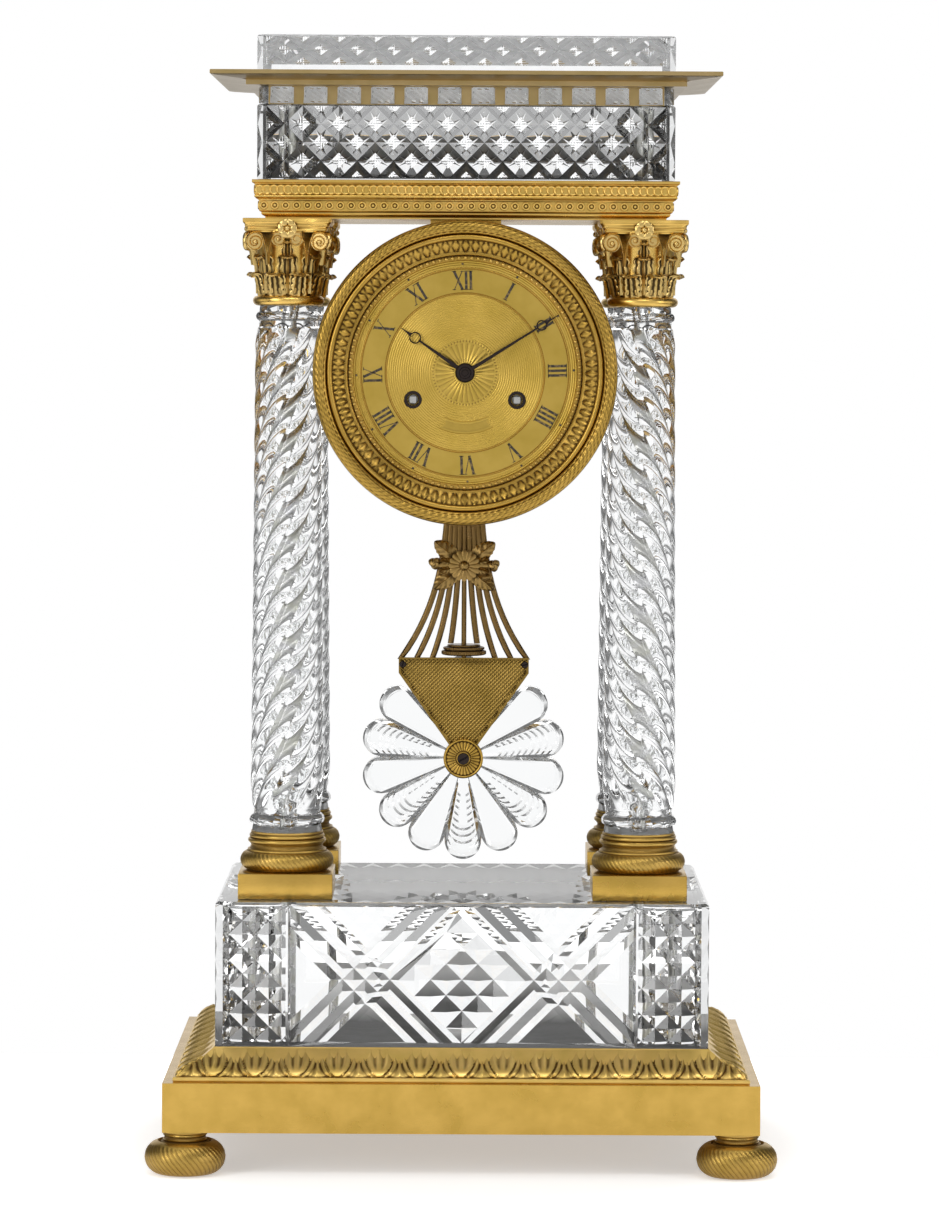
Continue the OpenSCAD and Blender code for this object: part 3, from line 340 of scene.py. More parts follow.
# %% [markdown]
# ## Tools for making pieces
# Sizes below are in millimetres, as a clockmaker would give them, and each finished mesh is scaled to
# metres once. A sheet is a grid bent into shape by a function; a turned piece is a profile spun on an axis;
# and a cut face is a flat side that is scribed with straight lines and then pressed to depth, so that every
# facet of the crystal stays flat and crisp.

# %% Small steps that every mesh needs
def moved(bm, vec):
    bmesh.ops.translate(bm, verts=bm.verts[:], vec=vec)
    return bm


def spun(bm, angle, axis):
    bmesh.ops.rotate(bm, verts=bm.verts[:], cent=(0, 0, 0), matrix=Matrix.Rotation(angle, 3, axis))
    return bm


def sized(bm, vec):
    bmesh.ops.scale(bm, vec=vec, verts=bm.verts[:])
    return bm


def outward(bm):
    bmesh.ops.recalc_face_normals(bm, faces=bm.faces[:])
    return bm


def welded(bm, gap):
    bmesh.ops.remove_doubles(bm, verts=bm.verts[:], dist=gap)
    return bm


def rims(bm):
    return [e for e in bm.edges if e.is_boundary]


def filled(bm):
    bmesh.ops.holes_fill(bm, edges=rims(bm), sides=0)
    return bm


def close_up(bm, gap=0.002):
    return outward(welded(bm, gap))


def bevelled(bm, edges, offset, segments=1):
    bmesh.ops.bevel(bm, geom=edges, offset=offset, segments=segments, profile=0.5, affect="EDGES",
                    material=-1)
    return bm


# %% Finish a piece
SMOOTH_BELOW = math.radians(32)


def piece(name, bm, material, body="case", stands_for=(), smooth=SMOOTH_BELOW):
    sized(bm, (MM, MM, MM))
    bmesh.ops.triangulate(bm, faces=[f for f in bm.faces if len(f.verts) > 4])
    mesh = bpy.data.meshes.new(name)
    bm.to_mesh(mesh)
    bm.free()
    mesh.materials.append(material)
    if smooth:
        mesh.shade_smooth()
        mesh.set_sharp_from_angle(angle=smooth)
    made = bpy.data.objects.new(name, mesh)
    scene.collection.objects.link(made)
    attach(made, body)
    if stands_for:
        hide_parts(*stands_for)
    print(name, len(mesh.polygons), "faces")
    return made


def dress(node, material, bevel=0.0):
    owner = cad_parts[node]
    if owner.data.materials:
        for slot in owner.material_slots:
            slot.material = material
    else:
        owner.data.materials.append(material)
    if bevel:
        weld = owner.modifiers.new("weld", "WELD")
        weld.merge_threshold = 0.00002
        edge = owner.modifiers.new("edge", "BEVEL")
        edge.width = bevel * MM
        edge.segments = 2
        edge.limit_method = "ANGLE"
        edge.angle_limit = math.radians(40)
        edge.harden_normals = False
    return owner


# %% Sheets, turned pieces and solids
def bent_sheet(across_count, along_count, place):
    bm = bmesh.new()
    bmesh.ops.create_grid(bm, x_segments=across_count, y_segments=along_count, size=0.5)
    for v in bm.verts:
        v.co = place(v.co.x + 0.5, v.co.y + 0.5)
    return bm


def turned(profile, steps, relief=None):
    bm = bmesh.new()
    ring = [bm.verts.new((r, 0, z)) for r, z in profile]
    edges = [bm.edges.new(pair) for pair in zip(ring, ring[1:])]
    bmesh.ops.spin(bm, geom=ring + edges, cent=(0, 0, 0), axis=(0, 0, 1), angle=TURN, steps=steps,
                   use_merge=True)
    close_up(bm)
    if relief:
        for v in bm.verts:
            r = math.hypot(v.co.x, v.co.y)
            if r > 0.01:
                grow = 1 + relief(math.atan2(v.co.y, v.co.x), r, v.co.z) / r
                v.co.x *= grow
                v.co.y *= grow
    return bm


def face_forward(bm, at=(0, 0, 0)):
    # A piece turned on z is laid on the y axis, with its top to the front
    spun(bm, math.radians(90), "X")
    return moved(bm, at)


def ball(radius, around, up):
    bm = bmesh.new()
    bmesh.ops.create_uvsphere(bm, u_segments=around, v_segments=up, radius=radius)
    return bm


def quarter_sides(width, depth):
    # for each side: its number of quarter turns, half its length, and how far it stands from the middle
    long_side = (width / 2, depth / 2)
    short_side = (depth / 2, width / 2)
    return [(0, *long_side), (1, *short_side), (2, *long_side), (3, *short_side)]


def round_z(count, start=0):
    # the turns that spread count copies round the z axis
    return [Matrix.Rotation((k + start) * TURN / count, 4, "Z") for k in range(count)]


def arc(cx, cy, r, start, stop, count):
    angles = [math.radians(start + (stop - start) * k / count) for k in range(count + 1)]
    return [(cx + r * math.cos(a), cy + r * math.sin(a)) for a in angles]


def joined(parts):
    whole = bmesh.new()
    for part in parts:
        mesh = bpy.data.meshes.new("part")
        part.to_mesh(mesh)
        part.free()
        whole.from_mesh(mesh)
        bpy.data.meshes.remove(mesh)
    return whole


def copied(bm, places):
    # places are 4x4 matrices; the first shape is moved last
    first = bm.verts[:] + bm.edges[:] + bm.faces[:]
    for matrix in places[1:]:
        made = bmesh.ops.duplicate(bm, geom=first)["geom"]
        bmesh.ops.transform(bm, matrix=matrix, verts=[g for g in made if isinstance(g, bmesh.types.BMVert)])
    bmesh.ops.transform(bm, matrix=places[0], verts=[g for g in first if isinstance(g, bmesh.types.BMVert)])
    return bm


def block(size, at, bevel=0.0, segments=2):
    bm = bmesh.new()
    bmesh.ops.create_cube(bm, size=1.0)
    sized(bm, size)
    moved(bm, at)
    if bevel:
        bevelled(bm, bm.edges[:], bevel, segments)
    return bm


def triangle_wave(t):
    # 0 at whole numbers, 1 half way between them
    return 1 - abs(2 * (t - math.floor(t)) - 1)


def smooth_step(low, high, t):
    t = min(1, max(0, (t - low) / (high - low)))
    return t * t * (3 - 2 * t)


print("tools ready")

# %% Scribe and press a cut face
SIDES = {
    "front": ((0, -1, 0), (1, 0, 0), (0, 0, 1)),
    "back": ((0, 1, 0), (-1, 0, 0), (0, 0, 1)),
    "right": ((1, 0, 0), (0, 1, 0), (0, 0, 1)),
    "left": ((-1, 0, 0), (0, -1, 0), (0, 0, 1)),
    "top": ((0, 0, 1), (1, 0, 0), (0, 1, 0)),
}


def side_of(bm, name):
    # marks a block's flat side, so that the pieces it is cut into can be found again
    mark = bm.faces.layers.int.get("side") or bm.faces.layers.int.new("side")
    number = list(SIDES).index(name) + 1
    normal = Vector(SIDES[name][0])
    bm.normal_update()
    flat = [f for f in bm.faces if f.normal.dot(normal) > 0.999 and f[mark] == 0]
    widest = max(f.calc_area() for f in flat)
    for f in flat:
        if f.calc_area() > widest / 2:
            f[mark] = number
    return number


def scribe(bm, name, number, base, lines, inside=None):
    # each line is a, b and c of a * u + b * v = c, measured on the side from base
    mark = bm.faces.layers.int.get("side")
    u_axis, v_axis = (Vector(axis) for axis in SIDES[name][1:])
    for a, b, c in lines:
        faces = []
        for f in bm.faces:
            if f[mark] != number:
                continue
            if inside:
                middle = f.calc_center_median() - base
                if not inside(middle.dot(u_axis), middle.dot(v_axis)):
                    continue
            faces.append(f)
        edges = {e for f in faces for e in f.edges}
        verts = {v for f in faces for v in f.verts}
        direction = a * u_axis + b * v_axis
        point = base + direction * (c / direction.length_squared)
        bmesh.ops.bisect_plane(bm, geom=list(verts) + list(edges) + faces, dist=0.0005,
                               plane_co=point, plane_no=direction)


def press(bm, name, number, base, depth):
    mark = bm.faces.layers.int.get("side")
    normal, u_axis, v_axis = (Vector(axis) for axis in SIDES[name])
    verts = {v for f in bm.faces if f[mark] == number for v in f.verts}
    for v in verts:
        place = v.co - base
        v.co += normal * depth(place.dot(u_axis), place.dot(v_axis))


def lattice_lines(wide, tall, u0, v0, span_u, span_v, diagonals=True):
    # the valleys of a diamond lattice, and the ridges of the pyramids in it
    lines = []
    reach = int(span_u / wide + span_v / tall) + 2
    for k in range(-reach, reach + 1):
        for sign in (1, -1):
            lines.append((1 / wide, sign / tall, u0 / wide + sign * v0 / tall + k + 0.5))
    if diagonals:
        steps = range(-2 * reach, 2 * reach + 1)
        lines += [(1, 0, u0 + k * wide / 2) for k in steps if abs(k * wide / 2) < span_u]
        lines += [(0, 1, v0 + k * tall / 2) for k in steps if abs(k * tall / 2) < span_v]
    return lines


def lattice_offset(wide, tall, u0, v0, u, v):
    # how far a point is from its diamond's middle: 0 in the middle, 1 in the valley
    p = (u - u0) / wide + (v - v0) / tall
    q = (u - u0) / wide - (v - v0) / tall
    return 2 * max(abs(p - round(p)), abs(q - round(q)))


def eased(bm, low, high, gap=0.1):
    # the glass keeps a hair's breadth from what it stands between, so that no two faces share one place
    for v in bm.verts:
        if abs(v.co.z - low) < 0.01:
            v.co.z += gap
        elif abs(v.co.z - high) < 0.01:
            v.co.z -= gap
    return bm


print("cutting tools ready")

# %% [markdown]
# ## Feet and plinth
# Each bun foot is engine turned: a lathe with a rocking tool cuts slanting ridges between two plain rims.
# The ridges are real relief here, from a wave that runs slantwise round the bulge. The plinth keeps the
# frame's own solid, and only gets softened edges, so that they catch the light.

# %% Feet
FOOT_R = 20.5
FOOT_H = 22.0
FOOT_NECK = 10.4
FOOT_X = 139.0
FOOT_Y = 104.0
CORNERS = [(-1, -1), (1, -1), (-1, 1), (1, 1)]
CORNER_NAMES = ["front_left", "front_right", "back_left", "back_right"]
FOOT_BULB = 8.5
FOOT_RIDGES = 44


def foot_relief(angle, r, z):
    slant = angle * FOOT_RIDGES / TURN + z * 0.28
    band = smooth_step(13.5, 15.5, r) * smooth_step(0.8, 2.2, z) * (1 - smooth_step(14.2, 15.6, z))
    ridge = triangle_wave(slant)
    dots = triangle_wave(slant * 3) * triangle_wave(z * 0.55)
    return -band * (0.55 * ridge + 0.18 * dots * (1 - ridge))


def foot_shape():
    outline = [(0, 0), (9, 0)] + arc(FOOT_R - FOOT_BULB, FOOT_BULB, FOOT_BULB, -70, 78, 30)
    outline += [(FOOT_NECK + 2.2, FOOT_H - 6.2), (FOOT_NECK + 1.6, FOOT_H - 5.4)]
    outline += [(FOOT_NECK + 0.2, FOOT_H - 5)]
    outline += arc(FOOT_NECK + 1.2, FOOT_H - 3.3, 1.2, 250, 110, 6)
    outline += [(FOOT_NECK + 0.4, FOOT_H - 1.4), (FOOT_NECK + 1, FOOT_H - 0.8)]
    outline += [(FOOT_NECK + 1, FOOT_H), (0, FOOT_H)]
    return turned(outline, 6 * FOOT_RIDGES, foot_relief)


for corner, label in zip(CORNERS, CORNER_NAMES):
    foot = moved(foot_shape(), (corner[0] * FOOT_X, corner[1] * FOOT_Y, 0))
    piece("bun_foot_" + label, foot, gilt_matt, stands_for=["foot_" + label])

dress("plinth", gilt_plain, bevel=0.45)
dress("base_nuts", steel)

# %% [markdown]
# ## Leaf moulding
# A cast frame of water leaves and darts runs round the plinth and is mitred at the corners. One strip is
# bent along each side: the moulding's section gives the hollow and swell, and the leaf pattern stands out
# along the section's own direction, so that both strips meet in one line at the mitre.

# %% Mitred strips
def along_section(section, t):
    # point and outward direction at t, from 0 at the section's start to 1 at its end
    lengths = [math.dist(a, b) for a, b in zip(section, section[1:])]
    want = t * sum(lengths)
    for (a, b), length in zip(zip(section, section[1:]), lengths):
        if want <= length + 1e-9:
            share = want / length
            inset = a[0] + (b[0] - a[0]) * share
            z = a[1] + (b[1] - a[1]) * share
            return inset, z, -(b[1] - a[1]) / length, (b[0] - a[0]) / length
        want -= length
    return along_section(section, 0.999)


def mitred_strip(width, depth, section, along_counts, rows, relief):
    # section is [inset, z] from the foot up; relief(distance from the side's middle, t, half length)
    stations = [along_section(section, k / rows) for k in range(rows + 1)]
    strips = []
    for turn, half_long, half_deep in quarter_sides(width, depth):

        def place(u, v, half_long=half_long, half_deep=half_deep):
            inset, z, out_inset, out_z = stations[round(v * rows)]
            reach = half_long - inset
            along = (2 * u - 1) * reach
            room = smooth_step(0, 0.8, reach - abs(along))
            swell = relief(along, round(v * rows) / rows, half_long) * room
            inset += out_inset * swell
            return Vector(((2 * u - 1) * (half_long - inset), -(half_deep - inset), z + out_z * swell))

        strip = bent_sheet(along_counts[turn % 2], rows, place)
        spun(strip, turn * TURN / 4, "Z")
        strips.append(strip)
    return welded(joined(strips), 0.01)


def closed_ring(bm):
    # a frame's open upper and lower rims are joined by flat faces
    bmesh.ops.bridge_loops(bm, edges=rims(bm))
    return close_up(bm)


# %% Leaf moulding
PLINTH_W = 300.0
PLINTH_D = 230.0
Z_LEAF = 47.0
LEAF_H = 15.0
LEAF_MARGIN = 5.0
LEAF_RUN = 18.5
LEAVES_LONG = 14
LEAVES_DEEP = 11


def leaf_section():
    points = [(0.35, 0.0), (0.0, 0.35), (0.0, 2.0), (0.4, 2.4)]
    for k in range(19):
        t = k / 18
        inset = 1.0 + LEAF_RUN * (0.82 * t - 0.09 * math.sin(TURN * t) + 0.18 * t * t) + 0.55
        points.append((min(inset, LEAF_RUN + 1.2), 2.4 + (LEAF_H - 3.4) * t))
    points += [(LEAF_RUN + 0.7, LEAF_H - 0.6), (LEAF_RUN + 1.0, LEAF_H - 0.15), (LEAF_RUN + 1.5, LEAF_H)]
    return [(inset, Z_LEAF + z) for inset, z in points]


def leaf_relief(along, t, half_long):
    # a hanging leaf: pointed at the foot, wide above, with a rim round it and a dart between two leaves
    count = LEAVES_LONG if half_long > 130 else LEAVES_DEEP
    pitch = 2 * half_long / count
    band = smooth_step(0.13, 0.16, t) * (1 - smooth_step(0.9, 0.93, t))
    if band == 0:
        return 0
    cell = along / pitch
    side = abs(cell - round(cell)) * 2
    height = min(1, max(0, (t - 0.14) / 0.78))
    outline = 0.70 * math.sqrt(1 - (1 - height) ** 2.6) * (1 - 0.12 * height ** 2)
    if side < outline:
        share = side / outline
        ribs = 0.42 * math.cos(share * 3 * math.pi) * smooth_step(0.12, 0.4, height)
        return band * (0.85 * math.sqrt(1 - share ** 6) + ribs * (1 - share ** 4))
    off = side - outline
    if off < 0.26:
        return band * (1.1 * math.sin(math.pi * off / 0.26) - 0.5)
    dart = (1 - side) / max(0.05, 1 - outline - 0.26)
    return band * (0.9 * max(0, 1 - 1.6 * dart) - 0.5)


leafy = mitred_strip(PLINTH_W - 2 * LEAF_MARGIN, PLINTH_D - 2 * LEAF_MARGIN, leaf_section(), (600, 460), 44,
                     leaf_relief)
piece("leaf_frame", closed_ring(leafy), gilt_painted_light, stands_for=["leaf_moulding"])

# %% [markdown]
# ## Crystal base
# The block is solid glass, cut on its front, on both ends and on the open part of its top. Each side is
# scribed with the wheel's lines: a diamond of sixteen pyramids in the middle, wide mitre grooves that cross
# beside it, and a panel of smaller pyramids at each end. Each facet leads the eye another way: to the dark
# sheet below, which paints shade into the glass, or out to the light and dark of the room.

# %% Patterns of the base
Z_BASE = 62.0
BASE_W = 250.0
BASE_D = 180.0
BASE_H = 73.5
PANEL_PITCH = 13.4
PANEL_DEPTH = 2.7
PANEL_FRONT = 37
PANEL_END = 34
EDGE_HALF = 1.2
DIAMOND_HALF = 32.0
DIAMOND_PITCH = 16.0
DIAMOND_MID = 34.0
GROOVES = [(36.5, 4.5), (49.0, 5.75), (60.5, 5.75)]
BETWEEN_GROOVES = 54.75
GROOVE_DEPTH = 2.6
PYRAMID_DEPTH = 4.6
FIELD = -1.0
MARGIN = 2.2


def groove_depth(t):
    for centre, half in GROOVES:
        if abs(t - centre) < half:
            return -GROOVE_DEPTH * (1 - abs(t - centre) / half)
    return 0


def base_lines():
    lines = []
    for centre, share in GROOVES:
        for t in (centre - share, centre, centre + share):
            for sign in (1, -1):
                lines.append((1, sign, t + sign * DIAMOND_MID))
                lines.append((-1, sign, t + sign * DIAMOND_MID))
    lines += [(0, 1, DIAMOND_MID)]
    for centre, _ in GROOVES:
        lines += [(1, 0, centre), (-1, 0, centre)]
    lines += [(1, 0, BETWEEN_GROOVES), (1, 0, -BETWEEN_GROOVES), (1, 0, 0)]
    return lines


def middle_depth(u, v):
    s = abs(u)
    w = v - DIAMOND_MID
    p = s + w
    q = s - w
    if s + abs(w) < DIAMOND_HALF:
        cell_p = (u + w) / DIAMOND_PITCH
        cell_q = (u - w) / DIAMOND_PITCH
        off = 2 * max(abs(cell_p - math.floor(cell_p) - 0.5), abs(cell_q - math.floor(cell_q) - 0.5))
        return -PYRAMID_DEPTH * off
    wedge = min(q - GROOVES[2][0], GROOVES[0][0] - p)
    if wedge > 0 and w < 0:
        return min(-0.05, FIELD - GROOVE_DEPTH + 0.2 * wedge)
    return FIELD + min(groove_depth(p), groove_depth(q))


def base_side(bm, name, half):
    panel = half - (PANEL_FRONT if half > 100 else PANEL_END)
    number = side_of(bm, name)
    base = Vector(SIDES[name][0]) * (BASE_D / 2 if name in ("front", "back") else BASE_W / 2)
    base.z = Z_BASE

    def in_middle(u, v):
        return abs(u) < panel - EDGE_HALF and MARGIN < v < BASE_H - MARGIN

    def in_diamond(u, v):
        return in_middle(u, v) and abs(u) + abs(v - DIAMOND_MID) < DIAMOND_HALF

    def in_outer(u, v):
        return in_middle(u, v) and not in_diamond(u, v)

    def in_panel(u, v):
        return abs(u) > panel + EDGE_HALF and MARGIN < v < BASE_H - MARGIN

    frame_lines = [(0, 1, 0.4), (0, 1, MARGIN), (0, 1, BASE_H - MARGIN), (1, 0, panel), (1, 0, -panel)]
    frame_lines += [(1, 0, sign * (panel + step)) for sign in (1, -1) for step in (-EDGE_HALF, EDGE_HALF)]
    scribe(bm, name, number, base, frame_lines)
    rim = [(1, sign, c * DIAMOND_HALF + sign * DIAMOND_MID) for sign in (1, -1) for c in (1, -1)]
    scribe(bm, name, number, base, rim, in_middle)
    scribe(bm, name, number, base, base_lines(), in_outer)
    cells = [k * DIAMOND_PITCH for k in (-1, 0, 1)]
    inner = [(1, sign, c + sign * DIAMOND_MID) for sign in (1, -1) for c in cells]
    inner += [(1, 0, k * DIAMOND_PITCH / 2) for k in range(-3, 4)]
    inner += [(0, 1, DIAMOND_MID + k * DIAMOND_PITCH / 2) for k in range(-3, 4)]
    scribe(bm, name, number, base, inner, in_diamond)
    panel_mid = panel + 16.5
    for sign in (-1, 1):
        def one_panel(u, v, sign=sign):
            return in_panel(u, v) and u * sign > 0
        scribe(bm, name, number, base,
               lattice_lines(PANEL_PITCH, PANEL_PITCH, sign * panel_mid, BASE_H / 2, 20, 38), one_panel)

    def depth(u, v):
        if v < MARGIN - 0.01 or v > BASE_H - MARGIN + 0.01 or abs(u) > half - 4.5:
            return 0
        rim_room = min(1, (v - MARGIN) / 0.02) * min(1, (BASE_H - MARGIN - v) / 0.02)
        if abs(abs(u) - panel) < 1.19:
            return -2.0 * rim_room * (1 - abs(abs(u) - panel) / EDGE_HALF)
        if abs(u) > panel:
            mid = panel_mid if u > 0 else -panel_mid
            return -0.25 - PANEL_DEPTH * lattice_offset(PANEL_PITCH, PANEL_PITCH, mid, BASE_H / 2, u, v)
        return middle_depth(u, v)

    press(bm, name, number, base, depth)


# %% Crystal base block
PAD_HALF = 24.0
COLUMN_X = 90.0
COLUMN_Y = 55.0
TOP_WIDE = 14.0
TOP_TALL = 22.0


def base_top(bm):
    number = side_of(bm, "top")
    base = Vector((0, 0, Z_BASE + BASE_H))
    room_x = COLUMN_X - PAD_HALF + 0.6
    room_y = COLUMN_Y - PAD_HALF + 0.6

    def cut_here(u, v):
        return abs(u) < room_x or abs(v) < room_y

    edges = [(1, 0, s * room_x) for s in (1, -1)] + [(0, 1, s * room_y) for s in (1, -1)]
    scribe(bm, "top", number, base, edges)
    scribe(bm, "top", number, base, lattice_lines(TOP_WIDE, TOP_TALL, 0, 0, BASE_W / 2, BASE_D / 2), cut_here)

    def depth(u, v):
        if not cut_here(u * 1.001, v * 1.001) or abs(u) > BASE_W / 2 - 5 or abs(v) > BASE_D / 2 - 5:
            return 0
        return -0.2 - 1.5 * lattice_offset(TOP_WIDE, TOP_TALL, 0, 0, u, v)

    press(bm, "top", number, base, depth)


def chamfered(width, depth, low, high, corner, top):
    bm = block((width, depth, high - low), (0, 0, (low + high) / 2))
    upright = [e for e in bm.edges if abs(e.verts[0].co.z - e.verts[1].co.z) > 1]
    bevelled(bm, upright, corner)
    if top:
        rim = [e for e in bm.edges if min(v.co.z for v in e.verts) > high - 0.01]
        bevelled(bm, rim, top)
    return bm


base_block = chamfered(BASE_W, BASE_D, Z_BASE, Z_BASE + BASE_H, 4.0, 1.6)
for label, half in (("front", BASE_W / 2), ("right", BASE_D / 2), ("left", BASE_D / 2)):
    base_side(base_block, label, half)
base_top(base_block)
eased(close_up(base_block, 0.0005), Z_BASE, Z_BASE + BASE_H)
piece("cut_base_block", base_block, crystal, stands_for=["crystal_base"], smooth=0)
BACKING_UP = 0.2
# a dark sheet under the block paints shade into its facets, fading to a paler painted tone towards the back
backing = block((BASE_W - 1.0, BASE_D - 1.0, 2 * BACKING_UP), (0, 0, Z_BASE))
piece("base_painted_backing", backing, base_painted_shade)

# %% [markdown]
# ## Column bases and crystal shafts
# Each column stands on a square block, an engine turned ring and a hollow. The shafts are cut with twelve
# rope flutes that wind one way on the left and the other way on the right. A grid whose lines follow the
# twist keeps every valley sharp. Each shaft is bored, because a steel rod runs through it and draws the
# clock together.

# %% Column bases
Z_PAD = 135.5
PAD_H = 13.0
RING_H = 20.0
TORUS_R = 24.0
TORUS_H = 10.4
TORUS_RIDGES = 56


def torus_relief(angle, r, z):
    band = smooth_step(TORUS_R - 3.2, TORUS_R - 2.2, r) * (1 - smooth_step(TORUS_H - 1.2, TORUS_H - 0.4, z))
    slant = angle * TORUS_RIDGES / TURN + z * 0.3
    cross = triangle_wave(angle * 2 * TORUS_RIDGES / TURN - z * 0.55)
    return -band * (0.42 * triangle_wave(slant) + 0.16 * cross)


def base_rings():
    outline = [(0, 0), (TORUS_R - 3, 0)] + arc(TORUS_R - 4.9, 5.1, 4.9, -75, 78, 22)
    outline += [(TORUS_R - 3.9, TORUS_H - 0.2), (TORUS_R - 3.9, TORUS_H + 0.5)]
    for k in range(9):
        outline.append((TORUS_R - 4.9 - 0.9 * math.sin(math.pi * k / 8), TORUS_H + 0.6 + 3.0 * k / 8))
    outline += arc(TORUS_R - 5.2, TORUS_H + 4.9, 1.15, -80, 80, 8)
    outline += [(TORUS_R - 5.6, TORUS_H + 6.1)] + arc(TORUS_R - 5.9, TORUS_H + 7.3, 1.1, -80, 80, 8)
    outline += [(TORUS_R - 5.6, RING_H - 0.6), (TORUS_R - 5.6, RING_H), (0, RING_H)]
    return turned(outline, 5 * TORUS_RIDGES, torus_relief)


def corner_places(z):
    return [Matrix.Translation((sx * COLUMN_X, sy * COLUMN_Y, z)) for sx, sy in CORNERS]


rings = copied(base_rings(), corner_places(Z_PAD + PAD_H))
pads = copied(block((2 * PAD_HALF, 2 * PAD_HALF, PAD_H), (0, 0, PAD_H / 2), 0.4), corner_places(Z_PAD))
piece("turned_rings", rings, gilt_matt, stands_for=["column_bases"])
piece("square_pads", pads, gilt_plain)

# %% Crystal shafts
Z_SHAFT = 168.5
SHAFT_H = 268.0
SHAFT_FOOT = 19.4
SHAFT_TOP = 16.6
FLUTES = 12
FLUTE_STEPS = 8
FLUTE_DEPTH = 1.8
TWIST_TURNS = 1.3
COLLAR_LOW = 12.3
COLLAR_HIGH = 10.6
COLLAR_FACETS = 12
BORE = 2.9


def shaft_stations():
    # radius, height, share of collar facets, share of flutes
    rows = [(BORE, 0, 0, 0), (SHAFT_FOOT - 1.5, 0, 1, 0)]
    rows += [(r, z, 1, 0) for r, z in arc(SHAFT_FOOT - 3.0, COLLAR_LOW / 2, 3.0, -70, 70, 6)]
    rows += [(SHAFT_FOOT - 2.2, COLLAR_LOW, 0, 0)]
    body = SHAFT_H - COLLAR_LOW - COLLAR_HIGH - 1.6
    for k in range(61):
        t = k / 60
        swell = smooth_step(0, 0.03, t) * (1 - smooth_step(0.97, 1, t))
        radius = SHAFT_FOOT - 0.6 + (SHAFT_TOP - SHAFT_FOOT + 0.9) * t - 1.2 * (1 - swell)
        rows.append((radius, COLLAR_LOW + 0.8 + body * t, 0, swell))
    rows += [(SHAFT_TOP - 1.6, SHAFT_H - COLLAR_HIGH, 0, 0)]
    rows += [(r, z, 1, 0) for r, z in arc(SHAFT_TOP - 2.5, SHAFT_H - COLLAR_HIGH / 2, 2.5, -70, 70, 6)]
    rows += [(SHAFT_TOP - 1.5, SHAFT_H, 1, 0), (BORE, SHAFT_H, 0, 0), (BORE, 0, 0, 0)]
    return rows


def shaft_shape(hand):
    stations = shaft_stations()
    count = FLUTES * FLUTE_STEPS

    def place(u, v):
        radius, z, collar, flute = stations[round(v * (len(stations) - 1))]
        lobe = math.sin(math.pi * ((u * FLUTES) % 1.0))
        cut = radius - FLUTE_DEPTH * flute * (1 - lobe)
        wedge = TURN / COLLAR_FACETS
        off = (TURN * u) % wedge - wedge / 2
        facet = math.cos(wedge / 2) / math.cos(off)
        cut *= 1 + collar * (facet - 1)
        angle = TURN * u + hand * TWIST_TURNS * TURN * z / SHAFT_H
        return Vector((cut * math.cos(angle), cut * math.sin(angle), z))

    return eased(close_up(bent_sheet(count, len(stations) - 1, place)), 0, SHAFT_H)


for corner, label in zip(CORNERS, CORNER_NAMES):
    shaft = moved(shaft_shape(-corner[0]), (corner[0] * COLUMN_X, corner[1] * COLUMN_Y, Z_SHAFT))
    piece("fluted_shaft_" + label, shaft, crystal, stands_for=["shaft_" + label],
          smooth=math.radians(26))
# grey rings at both ends of each shaft paint shade into the crystal
backings = []
for z, r in ((Z_SHAFT, SHAFT_FOOT - 2.5), (Z_SHAFT + SHAFT_H, SHAFT_TOP - 2.5)):
    inner = BORE + 0.3
    backing_ring = turned([(inner, -BACKING_UP), (r, -BACKING_UP), (r, BACKING_UP), (inner, BACKING_UP), (inner, -BACKING_UP)], 32)
    backings.append(copied(backing_ring, corner_places(z)))
piece("shaft_painted_backing", joined(backings), grey_painted_shade)
dress("tie_rods", steel)

# %% [markdown]
# ## Capitals
# A Corinthian capital is a bell wrapped in two rows of acanthus, with one more narrow leaf above them on
# each side, scrolls under the corners of a hollow-sided slab, and a flower in the middle of each side.
# Leaves are sheets bent over the bell, given ribs and lobes, and then given thickness; scrolls are ribbons
# swept along a spiral.

# %% Leaves and scrolls
CAP_RING = 4.5
CAP_H = 44.0
SLAB_H = 5.5
BELL_R = 15.0
BELL_LIP = 19.2
CAP_TALL = CAP_H - CAP_RING - SLAB_H


def bell_radius(z):
    t = min(1, max(0, (z - CAP_RING) / CAP_TALL))
    return BELL_R + (BELL_LIP - BELL_R - 0.6) * t ** 2.2


LEAF_CURL = 1.9
CURL_TURN = 2.5


def acanthus(foot_z, tall, wide, stand):
    # the leaf climbs the bell, then rolls outwards and down at its tip; stand keeps it off the bell
    rise = tall - LEAF_CURL
    total = rise + LEAF_CURL * CURL_TURN

    def place(u, v):
        side = 2 * u - 1
        run = v * total
        turn = max(0, run - rise) / LEAF_CURL
        z = foot_z + min(run, rise) + LEAF_CURL * math.sin(turn)
        lean = stand * smooth_step(0, 0.75, v)
        lobe = abs(math.sin(math.pi * v * 4.2))
        half = wide / 2 * (0.94 - 0.16 * (1 - lobe) ** 2) * (1 - 0.5 * smooth_step(0.78, 1.0, v))
        ribs = 0.34 * math.cos(side * (2.5 + 2.0 * v) * math.pi) * smooth_step(0.0, 0.12, 1 - abs(side))
        rib = 0.6 * (1 - smooth_step(0.0, 0.16, abs(side)))
        droop = -1.1 * side * side * (0.4 + 0.6 * smooth_step(0.6, 0.9, v))
        lift = ribs + rib + droop + 0.25 * lobe * abs(side)
        bell = bell_radius(min(z, foot_z + rise))
        out = bell + 0.7 + lean + LEAF_CURL * (1 - math.cos(turn)) + lift * math.cos(turn)
        z -= lift * math.sin(turn)
        angle = side * half / (BELL_R + 2.2)
        return Vector((out * math.sin(angle), -out * math.cos(angle), z))

    leaf = bent_sheet(22, 26, place)
    outward(leaf)
    bmesh.ops.solidify(leaf, geom=leaf.faces[:], thickness=0.8)
    return leaf


